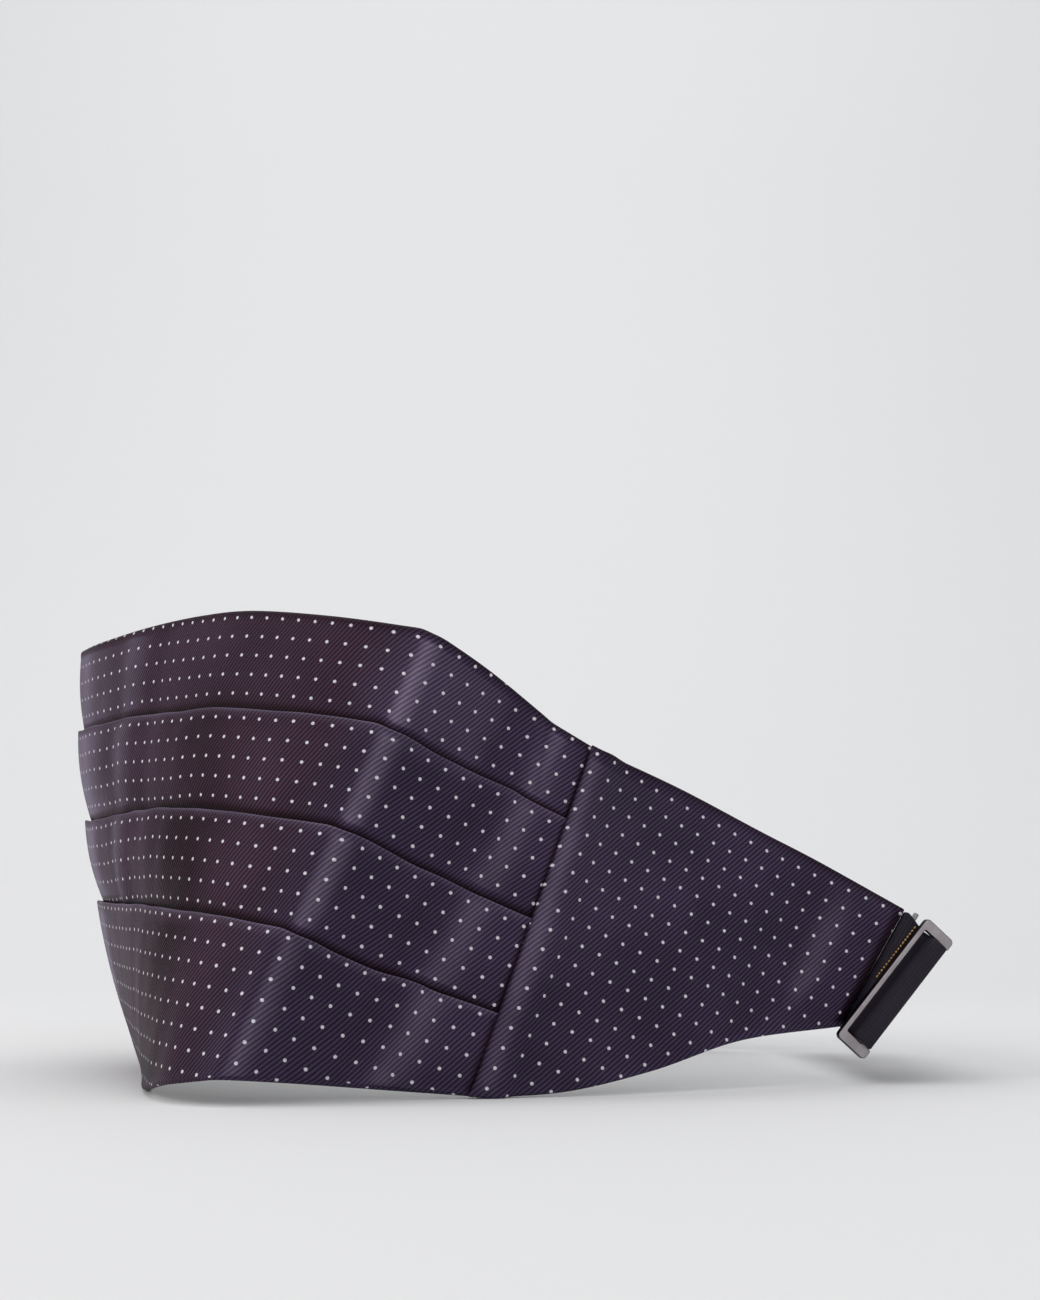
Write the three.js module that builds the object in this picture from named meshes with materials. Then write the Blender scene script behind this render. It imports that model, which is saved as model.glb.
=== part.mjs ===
// Pleated cummerbund, fastened and standing on its lower hem as an open ring.
// Units are millimetres, +Z is up, +X runs from the centre front to the back strap,
// and the two halves mirror each other across the plane Y = 0.

import * as THREE from 'three';

// Overall sizes of the cloth ring
const LOOP_LENGTH = 252;      // centre front to the end of the side panel, along X
const HALF_DEPTH = 135;       // mirror plane to the foot of the storage crease, along Y
const PANEL_HEIGHT = 133;     // hem to top edge at the centre front

// Cloth thicknesses
const LINING_WALL = 1.2;      // backing behind the pleats
const PLEAT_WALL = 1.2;       // one folded pleat, doubled cloth
const POCKET_GAP = 0.6;       // opening between a pleat and the band behind it
const POCKET_DEPTH = 9;       // how far down the opening behind a pleat's edge goes
const SIDE_WALL = 2.2;        // side panel with its lining
const EDGE_ROUND = 0.6;       // rounding of every cloth edge
const SEAM_LAP = 5;           // side panel's folded edge over the pleat ends
const SEAM_RAMP = 7;          // length in which the lap comes down to the lining's level
const MESH_GAP = 0.3;         // clearance between neighbouring pieces

// Strap, slide and fastening
const STRAP_WIDTH = 35;
const STRAP_THICKNESS = 1.3;
const SLIDE_WIDTH = 10.8;     // along the strap's run
const SLIDE_THICKNESS = 2;
const SLIDE_FRONT_BAR = 1.7;  // slim bar next to the cloth
const SLIDE_BACK_BAR = 1.6;   // bar that the strap passes over
const SLIDE_RECESS = 2.0;     // how far that bar is set in from the ends' outer edges
const SLIDE_END_BAR = 3.2;
const SLOT_ROOM = 1.05;       // beside the strap in the slide's slot
const SLIDE_LENGTH = STRAP_WIDTH + 2 * (SLOT_ROOM + SLIDE_END_BAR);
const SLIDE_CORNER = 1.4;
const SLIDE_BEVEL = 0.35;
const PIN_DIAMETER = 1.6;     // bar that holds the strap's sewn loop
const PIN_SHOWS = 3.8;        // length of the bar above the strap's edge
const PIN_PLACE = 0.5;        // its place between the cloth and the slide's slim bar
const CLASP_WIDTH = 24;       // along the strap's run
const CLASP_LENGTH = 33;
const CLASP_THICKNESS = 4;
const CLASP_CORNER = 3;
const BACK_RISE = 5;          // how much higher the strap runs at the clasp than at the slide

// Rulings of the cloth, from the centre front to the end of the side panel. Each one runs
// down the wall from the top edge to the foot. x, y and z are shares of LOOP_LENGTH,
// HALF_DEPTH and PANEL_HEIGHT. bow is how far the wall bulges outwards at half height, and
// fold1 to fold3 are the pleat edges' distances down the wall, in shares of PANEL_HEIGHT.
// loft is how full the pleats stand. A ruling marked crease keeps a sharp turn, and steps
// says how many strips lead to the next one.
const RULINGS = [
  { name: 'centre_front', topX: 0.000, topY: 0.000, topZ: 1.002, footX: 0.096, footY: 0.000, footZ: 0.000,
    bow: 0.045, fold1: 0.202, fold2: 0.422, fold3: 0.618, loft: 1.0, steps: 2 },
  { name: 'front_turn', topX: 0.016, topY: 0.112, topZ: 0.993, footX: 0.108, footY: 0.112, footZ: 0.000,
    bow: 0.045, fold1: 0.202, fold2: 0.422, fold3: 0.612, loft: 1.0, steps: 2 },
  { name: 'front_side', topX: 0.056, topY: 0.252, topZ: 0.989, footX: 0.121, footY: 0.245, footZ: 0.000,
    bow: 0.044, fold1: 0.202, fold2: 0.420, fold3: 0.610, loft: 1.0, steps: 3 },
  { name: 'hem_corner', topX: 0.133, topY: 0.422, topZ: 0.995, footX: 0.144, footY: 0.450, footZ: 0.000,
    bow: 0.040, fold1: 0.206, fold2: 0.419, fold3: 0.617, loft: 1.0, steps: 3 },
  { name: 'hem_rise', topX: 0.208, topY: 0.578, topZ: 0.992, footX: 0.164, footY: 0.640, footZ: 0.000,
    bow: 0.032, fold1: 0.214, fold2: 0.420, fold3: 0.624, loft: 1.0, steps: 2 },
  { name: 'wide_band', topX: 0.272, topY: 0.686, topZ: 0.982, footX: 0.184, footY: 0.790, footZ: 0.014,
    bow: 0.022, fold1: 0.214, fold2: 0.426, fold3: 0.632, loft: 1.0, steps: 2 },
  { name: 'before_crease', topX: 0.362, topY: 0.772, topZ: 0.955, footX: 0.216, footY: 0.926, footZ: 0.034,
    bow: 0.010, fold1: 0.215, fold2: 0.434, fold3: 0.642, loft: 1.0, steps: 2 },
  { name: 'crease_front', topX: 0.458, topY: 0.818, topZ: 0.922, footX: 0.264, footY: 0.996, footZ: 0.048,
    bow: 0.000, fold1: 0.218, fold2: 0.440, fold3: 0.660, loft: 0.95, steps: 1, crease: true },
  { name: 'crease_back', topX: 0.474, topY: 0.822, topZ: 0.905, footX: 0.283, footY: 0.996, footZ: 0.047,
    bow: 0.000, fold1: 0.220, fold2: 0.439, fold3: 0.660, loft: 0.95, steps: 3, crease: true },
  { name: 'inner_field', topX: 0.528, topY: 0.780, topZ: 0.838, footX: 0.345, footY: 0.925, footZ: 0.034,
    bow: 0.000, fold1: 0.207, fold2: 0.426, fold3: 0.643, loft: 0.9, steps: 2 },
  { name: 'second_crease', topX: 0.592, topY: 0.714, topZ: 0.746, footX: 0.412, footY: 0.868, footZ: 0.020,
    bow: 0.000, fold1: 0.170, fold2: 0.393, fold3: 0.600, loft: 0.85, steps: 2, crease: true },
  { name: 'seam', topX: 0.649, topY: 0.696, topZ: 0.683, footX: 0.532, footY: 0.818, footZ: 0.000,
    bow: 0.000, fold1: 0.163, fold2: 0.375, fold3: 0.573, loft: 0.55, steps: 3, crease: true },
  { name: 'side_field', topX: 0.740, topY: 0.594, topZ: 0.614, footX: 0.612, footY: 0.784, footZ: 0.010,
    bow: 0.000, fold1: 0, fold2: 0, fold3: 0, loft: 0, steps: 3 },
  { name: 'side_middle', topX: 0.835, topY: 0.520, topZ: 0.527, footX: 0.700, footY: 0.714, footZ: 0.044,
    bow: 0.000, fold1: 0, fold2: 0, fold3: 0, loft: 0, steps: 2 },
  { name: 'side_dent', topX: 0.905, topY: 0.478, topZ: 0.463, footX: 0.800, footY: 0.602, footZ: 0.096,
    bow: 0.000, fold1: 0, fold2: 0, fold3: 0, loft: 0, steps: 3 },
  { name: 'side_end', topX: 1.000, topY: 0.462, topZ: 0.364, footX: 0.922, footY: 0.472, footZ: 0.118,
    bow: 0.000, fold1: 0, fold2: 0, fold3: 0, loft: 0, steps: 1 },
];
const SEAM = RULINGS.findIndex((ruling) => ruling.name === 'seam');

// Slide's place from the end of the side panel: its near corner points, in shares of the
// same sizes, and the angle by which it turns away from the cloth towards the back
const SLIDE_TOP = { x: 0.027, y: -0.012, z: -0.010 };
const SLIDE_FOOT = { x: -0.011, y: -0.042, z: -0.022 };
const SLIDE_TURN = 12;        // degrees

const CLOTH = new THREE.MeshStandardMaterial({ color: 0x2b2233, roughness: 0.62, metalness: 0 });
const SATIN = new THREE.MeshStandardMaterial({ color: 0x1a1822, roughness: 0.45, metalness: 0 });
const GUNMETAL = new THREE.MeshStandardMaterial({ color: 0x7d7880, roughness: 0.32, metalness: 1 });
const STEEL = new THREE.MeshStandardMaterial({ color: 0x8b8a88, roughness: 0.35, metalness: 1 });

const point = (x, y, z) => new THREE.Vector3(x, y, z);

// Top and foot points of one row of the table, on the near side of the ring.
function rulingPoints(row) {
  return {
    ...row,
    top: point(row.topX * LOOP_LENGTH, -row.topY * HALF_DEPTH, row.topZ * PANEL_HEIGHT),
    foot: point(row.footX * LOOP_LENGTH, -row.footY * HALF_DEPTH, row.footZ * PANEL_HEIGHT),
    folds: [row.fold1, row.fold2, row.fold3].map((share) => share * PANEL_HEIGHT),
  };
}
const ROWS = RULINGS.map(rulingPoints);

// The row across the mirror plane from the second one, so that the centre front is smooth.
const OPPOSITE_ROW = {
  ...ROWS[1],
  top: ROWS[1].top.clone().multiply(point(1, -1, 1)),
  foot: ROWS[1].foot.clone().multiply(point(1, -1, 1)),
};

// Reads one value of a ruling at a place between rows: a cubic through the rows that keeps
// its turn at a crease. pick takes a row and gives a number.
function between(pick, place) {
  const last = ROWS.length - 1;
  const index = Math.min(Math.floor(place), last - 1);
  const t = place - index;
  const value = (i) => pick(i < 0 ? OPPOSITE_ROW : ROWS[Math.min(last, i)]);
  const a = value(index);
  const b = value(index + 1);
  const startsSharp = ROWS[index].crease;
  const endsSharp = index + 1 === last || ROWS[index + 1].crease;
  const slopeA = startsSharp ? b - a : (b - value(index - 1)) / 2;
  const slopeB = endsSharp ? b - a : (value(index + 2) - a) / 2;
  const t2 = t * t;
  const t3 = t2 * t;
  return (2 * t3 - 3 * t2 + 1) * a + (t3 - 2 * t2 + t) * slopeA
    + (3 * t2 - 2 * t3) * b + (t3 - t2) * slopeB;
}

// The wall at a place along the table: its top, its foot, its pleats and its outward
// direction, which is level so that the hem stays flat on the ground.
function wallAt(place) {
  const at = (pick) => between(pick, place);
  const middle = (where) => {
    const inside = Math.max(0, Math.min(ROWS.length - 1, where));
    return point(between((row) => row.top.x + row.foot.x, inside) / 2,
      between((row) => row.top.y + row.foot.y, inside) / 2, 0);
  };
  const step = 0.02;
  const run = middle(place + step).sub(middle(place - step)).normalize();
  const outward = place === 0 ? point(-1, 0, 0) : point(run.y, -run.x, 0);
  const footHeight = Math.max(0, at((row) => row.foot.z));
  return {
    top: point(at((row) => row.top.x), at((row) => row.top.y), at((row) => row.top.z)),
    foot: point(at((row) => row.foot.x), at((row) => row.foot.y), footHeight),
    folds: [0, 1, 2].map((i) => at((row) => row.folds[i])),
    bow: at((row) => row.bow) * PANEL_HEIGHT,
    loft: at((row) => row.loft),
    outward,
  };
}

// A point of the wall, down mm below the top edge and out mm in front of the lining.
function onWall(wall, down, out) {
  const share = down / wall.top.distanceTo(wall.foot);
  const bulge = 4 * wall.bow * share * (1 - share);
  return wall.top.clone().lerp(wall.foot, share).addScaledVector(wall.outward, out + bulge);
}

// Outline of the pleated wall, each entry [down, out], from the lining's top edge over the
// pleats to the hem. Each lower band's folded top edge stands in front of the band above.
function pleatedOutline(wall) {
  const length = wall.top.distanceTo(wall.foot);
  const backing = LINING_WALL;
  const lift = PLEAT_WALL * wall.loft;
  const pocket = POCKET_GAP * wall.loft;
  const outline = [[0, 0], [0, backing], [EDGE_ROUND, backing + lift]];
  for (const fold of wall.folds) {
    const under = fold + POCKET_DEPTH;
    outline.push([under, backing], [under, backing + pocket]);
    outline.push([fold + EDGE_ROUND, backing + pocket]);
    outline.push([fold, backing + pocket + lift / 2], [fold + EDGE_ROUND, backing + pocket + lift]);
  }
  outline.push([length - EDGE_ROUND, backing + lift], [length, backing], [length, 0]);
  for (const share of [0.8, 0.6, 0.4, 0.2]) {
    outline.push([length * share, 0]);
  }
  return outline;
}

// Outline of a plain wall between two distances in front of the lining's level.
function plainOutline(wall, inner, outer) {
  const length = wall.top.distanceTo(wall.foot);
  return [[0, inner], [0, outer - EDGE_ROUND], [EDGE_ROUND, outer],
    [length - EDGE_ROUND, outer], [length, outer - EDGE_ROUND], [length, inner]];
}

const mirrored = (ring) => ring.map((p) => point(p.x, -p.y, p.z));

// Closed solid through rings of equal length. flat holds the first ring as [across, out]
// pairs, from which both end caps are cut into triangles.
function loft(rings, flat) {
  const count = flat.length;
  const positions = rings.flatMap((ring) => ring.flatMap((p) => [p.x, p.y, p.z]));
  const faces = [];
  for (let i = 0; i + 1 < rings.length; i += 1) {
    for (let j = 0; j < count; j += 1) {
      const next = (j + 1) % count;
      const a = i * count + j;
      const b = i * count + next;
      faces.push(a, b, b + count, a, b + count, a + count);
    }
  }
  const caps = THREE.ShapeUtils.triangulateShape(flat.map(([u, v]) => new THREE.Vector2(u, v)), []);
  const end = (rings.length - 1) * count;
  for (const [a, b, c] of caps) {
    faces.push(a, b, c, end + c, end + b, end + a);
  }
  const geometry = new THREE.BufferGeometry();
  geometry.setAttribute('position', new THREE.Float32BufferAttribute(positions, 3));
  geometry.setIndex(signedVolume(positions, faces) < 0 ? faces.reverse() : faces);
  geometry.computeVertexNormals();
  return geometry;
}

// Six times the enclosed volume, negative when the faces point inwards.
function signedVolume(positions, faces) {
  const corner = (i) => point(positions[3 * i], positions[3 * i + 1], positions[3 * i + 2]);
  let sum = 0;
  for (let i = 0; i < faces.length; i += 3) {
    sum += corner(faces[i]).dot(corner(faces[i + 1]).cross(corner(faces[i + 2])));
  }
  return sum;
}

// Places along the table between two rows, with each row's own number of strips.
function placesBetween(first, last) {
  const places = [];
  for (let row = first; row < last; row += 1) {
    for (let i = 0; i < RULINGS[row].steps; i += 1) {
      places.push(row + i / RULINGS[row].steps);
    }
  }
  return [...places, last];
}

// Length of the wall's middle line in one row's span, to turn millimetres into places.
function spanLength(row) {
  const middle = (r) => r.top.clone().add(r.foot).multiplyScalar(0.5);
  return middle(ROWS[row]).distanceTo(middle(ROWS[row + 1]));
}

function named(name, geometry, material) {
  const mesh = new THREE.Mesh(geometry, material);
  mesh.name = name;
  return mesh;
}

// Pleated front, from seam to seam round the centre front.
function frontPanel() {
  const walls = placesBetween(0, SEAM).map(wallAt);
  const outlines = walls.map(pleatedOutline);
  const near = walls.map((wall, i) => outlines[i].map(([down, out]) => onWall(wall, down, out)));
  const far = near.slice(1).reverse().map(mirrored);
  return loft([...far, ...near], outlines[outlines.length - 1]);
}

// Plain side panel. Its folded edge laps over the pleat ends, then comes down to the
// lining's level behind the seam.
function sidePanel() {
  const lapLevel = LINING_WALL + (PLEAT_WALL + POCKET_GAP) * ROWS[SEAM].loft;
  const lapPlace = SEAM - SEAM_LAP / spanLength(SEAM - 1);
  const rampPlace = SEAM + SEAM_RAMP / spanLength(SEAM);
  const seamPlace = SEAM + MESH_GAP / spanLength(SEAM);
  const lapInner = lapLevel + 2 * MESH_GAP;
  const lapOuter = lapInner + PLEAT_WALL;
  const stations = [
    { place: lapPlace, inner: lapInner, outer: lapOuter },
    { place: seamPlace, inner: lapInner, outer: lapOuter },
    { place: rampPlace, inner: 0, outer: SIDE_WALL },
  ];
  for (const place of placesBetween(SEAM, ROWS.length - 1)) {
    if (place > rampPlace + SEAM_RAMP / spanLength(SEAM) / 2) {
      stations.push({ place, inner: 0, outer: SIDE_WALL });
    }
  }
  const walls = stations.map(({ place }) => wallAt(place));
  const outlines = walls.map((wall, i) => plainOutline(wall, stations[i].inner, stations[i].outer));
  const rings = walls.map((wall, i) => outlines[i].map(([down, out]) => onWall(wall, down, out)));
  return { rings, flat: outlines[0] };
}

// Frame of the slide: origin at its near foot corner, along its length, across its width
// and out of its face.
function slideFrame() {
  const end = ROWS[ROWS.length - 1];
  const size = point(LOOP_LENGTH, HALF_DEPTH, PANEL_HEIGHT);
  const offset = (share) => point(share.x, share.y, share.z).multiply(size);
  const foot = end.foot.clone().add(offset(SLIDE_FOOT));
  const top = end.top.clone().add(offset(SLIDE_TOP));
  const along = top.clone().sub(foot).normalize();
  const turn = THREE.MathUtils.degToRad(SLIDE_TURN);
  const level = point(along.z, 0, -along.x).normalize();
  const across = level.multiplyScalar(Math.cos(turn)).add(point(0, Math.sin(turn), 0));
  across.addScaledVector(along, -across.dot(along)).normalize();
  const out = new THREE.Vector3().crossVectors(across, along);
  const middle = foot.clone().add(top).multiplyScalar(0.5);
  return { middle, along, across, out };
}
const SLIDE = slideFrame();

// Rectangle with rounded corners as a closed outline, centred on x and y.
function roundedRectangle(kind, x, y, width, height, radius) {
  const outline = new kind();
  const right = x + width / 2 - radius;
  const left = x - width / 2 + radius;
  const top = y + height / 2 - radius;
  const foot = y - height / 2 + radius;
  const quarter = Math.PI / 2;
  outline.absarc(right, top, radius, 0, quarter);
  outline.absarc(left, top, radius, quarter, 2 * quarter);
  outline.absarc(left, foot, radius, 2 * quarter, 3 * quarter);
  outline.absarc(right, foot, radius, 3 * quarter, 4 * quarter);
  return outline;
}

// Stands a piece drawn in X and Y on the given frame.
function stand(mesh, origin, across, along, out) {
  mesh.quaternion.setFromRotationMatrix(new THREE.Matrix4().makeBasis(across, along, out));
  mesh.position.copy(origin);
  return mesh;
}

// Outline of the slide: a rounded rectangle whose back bar is set in between the ends.
function slideOutline() {
  const half = SLIDE_LENGTH / 2 - SLIDE_BEVEL;
  const near = SLIDE_BEVEL;
  const far = SLIDE_WIDTH - SLIDE_BEVEL;
  const end = half - SLIDE_END_BAR;
  const quarter = Math.PI / 2;
  const outline = new THREE.Shape();
  outline.absarc(far - SLIDE_CORNER, half - SLIDE_CORNER, SLIDE_CORNER, 0, quarter);
  outline.absarc(near + SLIDE_CORNER, half - SLIDE_CORNER, SLIDE_CORNER, quarter, 2 * quarter);
  outline.absarc(near + SLIDE_CORNER, SLIDE_CORNER - half, SLIDE_CORNER, 2 * quarter, 3 * quarter);
  outline.absarc(far - SLIDE_CORNER, SLIDE_CORNER - half, SLIDE_CORNER, 3 * quarter, 4 * quarter);
  outline.lineTo(far, -end);
  outline.lineTo(far - SLIDE_RECESS, SLIDE_BEVEL - end);
  outline.lineTo(far - SLIDE_RECESS, end - SLIDE_BEVEL);
  outline.lineTo(far, end);
  return outline;
}

// Rectangular slide with one slot, lying over the strap behind its slim bar.
function slideBuckle() {
  const outer = slideOutline();
  const slotWidth = SLIDE_WIDTH - SLIDE_FRONT_BAR - SLIDE_BACK_BAR - SLIDE_RECESS;
  const slotLength = SLIDE_LENGTH - 2 * SLIDE_END_BAR;
  outer.holes.push(roundedRectangle(THREE.Path, SLIDE_FRONT_BAR + slotWidth / 2, 0,
    slotWidth + 2 * SLIDE_BEVEL, slotLength + 2 * SLIDE_BEVEL, SLIDE_CORNER / 2));
  const geometry = new THREE.ExtrudeGeometry(outer, {
    depth: SLIDE_THICKNESS - 2 * SLIDE_BEVEL, curveSegments: 3, bevelEnabled: true,
    bevelThickness: SLIDE_BEVEL, bevelSize: SLIDE_BEVEL, bevelSegments: 1,
  });
  geometry.translate(0, 0, SLIDE_BEVEL - SLIDE_THICKNESS / 2);
  const mesh = named('slide_buckle', geometry, GUNMETAL);
  return stand(mesh, SLIDE.middle, SLIDE.across, SLIDE.along, SLIDE.out);
}

// Middle line of the strap where it threads the slide: behind the slim bar, up through the
// slot, over the far bar and round its outside. Distances are across and out of the slide.
function threadedRun() {
  const room = MESH_GAP + STRAP_THICKNESS / 2;
  const clear = SLIDE_THICKNESS / 2 + room;
  const slotEnd = SLIDE_WIDTH - SLIDE_RECESS - SLIDE_BACK_BAR;
  const barEdge = SLIDE_WIDTH - SLIDE_RECESS;
  const inSlot = (share) => SLIDE_FRONT_BAR + room + (slotEnd - SLIDE_FRONT_BAR - 2 * room) * share;
  return [
    { across: SLIDE_FRONT_BAR, out: -clear },
    { across: inSlot(0.3), out: -clear / 2 },
    { across: inSlot(0.7), out: clear / 2 },
    { across: inSlot(1), out: clear },
    { across: barEdge, out: clear },
    { across: barEdge + room * 0.8, out: clear - room * 0.3 },
    { across: barEdge + room * 1.05, out: 0 },
  ];
}

function slidePoint({ across, out }) {
  return SLIDE.middle.clone().addScaledVector(SLIDE.across, across).addScaledVector(SLIDE.out, out);
}

// Where the strap meets the clasp at the middle of the back, and how it leans there.
function strapCentre() {
  const middle = slidePoint(threadedRun().at(-1));
  return {
    along: point(SLIDE.along.x, 0, SLIDE.along.z).normalize(),
    middle: point(middle.x, -CLASP_WIDTH / 2 - MESH_GAP, middle.z + BACK_RISE),
  };
}

// Solid of a strap from its stations: a middle point, the direction of its width, and the
// direction of its face.
function strapRings(stations) {
  const flat = [[-1, -1], [-1, 1], [1, 1], [1, -1]];
  const rings = stations.map(({ middle, along, face }) => flat.map(([side, out]) => middle.clone()
    .addScaledVector(along, side * STRAP_WIDTH / 2)
    .addScaledVector(face, out * STRAP_THICKNESS / 2)));
  return { rings, flat };
}

// Face directions of a line of middle points: square to the line and to the strap's width,
// unless a station already has its own.
function withFaces(stations) {
  return stations.map((station, i) => {
    const before = stations[Math.max(0, i - 1)].middle;
    const after = stations[Math.min(stations.length - 1, i + 1)].middle;
    const run = after.clone().sub(before).normalize();
    const face = new THREE.Vector3().crossVectors(run, station.along).normalize();
    return { face, ...station };
  });
}

// Start of a strap, square against the end of the side panel.
function strapStart() {
  const end = ROWS[ROWS.length - 1];
  const wall = wallAt(ROWS.length - 1);
  const run = point(-wall.outward.y, wall.outward.x, 0);
  const middle = end.top.clone().add(end.foot).multiplyScalar(0.5)
    .addScaledVector(wall.outward, SIDE_WALL / 2).addScaledVector(run, MESH_GAP);
  const along = end.top.clone().sub(end.foot).normalize();
  return { station: { middle, along, face: wall.outward }, run };
}

// Strap on the slide's side, from the end of the side panel to the clasp.
function threadedStrap() {
  const stations = [strapStart().station];
  for (const spot of threadedRun()) {
    stations.push({ middle: slidePoint(spot), along: SLIDE.along });
  }
  const last = stations.at(-1);
  const end = strapCentre();
  for (const share of [0.1, 0.5, 1]) {
    stations.push({
      middle: last.middle.clone().lerp(end.middle, share),
      along: last.along.clone().lerp(end.along, share).normalize(),
    });
  }
  return strapRings(withFaces(stations));
}

// Strap on the other side, from the far side panel straight to the clasp.
function plainStrap() {
  const { station, run } = strapStart();
  const clear = station.middle.clone().addScaledVector(run, SLIDE_WIDTH / 2);
  const stations = [station, { middle: clear, along: station.along }, strapCentre()];
  return strapRings(withFaces(stations));
}

// Plain hook plate that closes the ring at the middle of the back.
function backClasp() {
  const { along, middle } = strapCentre();
  const across = point(0, 1, 0);
  const out = new THREE.Vector3().crossVectors(across, along);
  const outline = roundedRectangle(THREE.Shape, 0, 0, CLASP_WIDTH, CLASP_LENGTH, CLASP_CORNER);
  const geometry = new THREE.ExtrudeGeometry(outline, {
    depth: CLASP_THICKNESS, curveSegments: 4, bevelEnabled: false,
  });
  geometry.translate(0, 0, -CLASP_THICKNESS / 2);
  return stand(named('back_clasp', geometry, STEEL), point(middle.x, 0, middle.z), across, along, out);
}

// Slim bar that the strap's sewn end holds, inside the ring between the cloth and the slide.
function strapPin() {
  const { station } = strapStart();
  const next = slidePoint(threadedRun()[0]);
  const along = station.along.clone().lerp(SLIDE.along, PIN_PLACE).normalize();
  const run = next.clone().sub(station.middle);
  const out = new THREE.Vector3().crossVectors(run, along).normalize();
  const across = new THREE.Vector3().crossVectors(along, out);
  const radius = PIN_DIAMETER / 2;
  const geometry = new THREE.CylinderGeometry(radius, radius, STRAP_WIDTH + PIN_SHOWS, 10);
  const centre = station.middle.clone()
    .addScaledVector(run, PIN_PLACE)
    .addScaledVector(out, -(STRAP_THICKNESS / 2 + 2 * MESH_GAP + radius))
    .addScaledVector(along, PIN_SHOWS / 2);
  return stand(named('strap_pin', geometry, STEEL), centre, across, along, out);
}

const side = sidePanel();
const threaded = threadedStrap();
const plain = plainStrap();

const cummerbund = new THREE.Group();
cummerbund.name = 'cummerbund';
cummerbund.add(
  named('front_panel', frontPanel(), CLOTH),
  named('side_panel_right', loft(side.rings, side.flat), CLOTH),
  named('side_panel_left', loft(side.rings.map(mirrored), side.flat), CLOTH),
  named('strap_right', loft(threaded.rings, threaded.flat), SATIN),
  named('strap_left', loft(plain.rings.map(mirrored), plain.flat), SATIN),
  slideBuckle(),
  strapPin(),
  backClasp(),
);

// The origin is the middle of the ground under the whole ring.
cummerbund.updateMatrixWorld(true);
const box = new THREE.Box3().setFromObject(cummerbund, true);
const centre = box.getCenter(new THREE.Vector3());
cummerbund.position.set(-centre.x, -centre.y, -box.min.z);

export default cummerbund;
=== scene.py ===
"""Looks of a pleated silk cummerbund that stands fastened on its lower hem, in a plain pale studio.

The ring is cloth on a stiff backing: a front of four overlapping pleat bands, a plain side panel at each
end, and a narrow strap that runs through a metal slide and closes at the back with a flat clasp.
"""

import logging
import math
from collections.abc import Callable, Sequence
from dataclasses import dataclass, field
from enum import Enum
from functools import cached_property

import bmesh
import bpy
import numpy as np
from mathutils import Matrix, Vector, noise
from mathutils.geometry import tessellate_polygon


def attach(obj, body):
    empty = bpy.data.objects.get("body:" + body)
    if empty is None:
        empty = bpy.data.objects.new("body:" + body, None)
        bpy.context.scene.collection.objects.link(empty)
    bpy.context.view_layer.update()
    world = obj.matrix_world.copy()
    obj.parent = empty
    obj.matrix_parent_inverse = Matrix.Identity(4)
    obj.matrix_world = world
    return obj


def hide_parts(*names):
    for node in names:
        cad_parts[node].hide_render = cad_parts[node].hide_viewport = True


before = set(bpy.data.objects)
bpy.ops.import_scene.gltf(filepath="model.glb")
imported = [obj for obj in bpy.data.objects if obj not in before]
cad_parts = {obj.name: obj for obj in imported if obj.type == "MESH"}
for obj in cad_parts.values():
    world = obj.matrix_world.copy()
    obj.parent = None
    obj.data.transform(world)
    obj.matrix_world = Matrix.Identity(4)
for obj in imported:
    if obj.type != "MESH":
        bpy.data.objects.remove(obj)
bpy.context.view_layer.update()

log = logging.getLogger("cummerbund")

MM = 0.001
PATTERN_MAP = "Pattern"
# Mesh attribute that carries painted light: painted highlight above 0, painted shade below.
PAINTED_LIGHT_TONE = "Tone"
DOT_PITCH = 5.5 * MM
Socket = bpy.types.NodeSocket
Shares = tuple[float, float, float]


class Layer(Enum):
    """Which cloth a strip of the wall shows, as its material's place on the mesh."""

    OUTER = 0
    LINING = 1


class Side(Enum):
    """The half of the ring, as the sign of its mirrored coordinate."""

    NEAR = 1.0
    FAR = -1.0


@dataclass(frozen=True)
class Ruling:
    """One straight line down the cloth wall, in shares of the ring's length, half depth and height.

    Attributes:
        name: Where the line lies.
        top: Its upper end: along the ring's length, away from the mirror plane, and up.
        foot: Its lower end, in the same shares.
        bow: How far the wall bulges outwards at half height, as a share of the height.
        folds: Distances of the three pleat edges down the line, in shares of the height.
        loft: How full the pleats stand, from 0 to 1.
        crease: Whether the cloth keeps a turn here.
    """

    name: str
    top: Shares
    foot: Shares
    bow: float
    folds: Shares
    loft: float
    crease: bool = False


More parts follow.
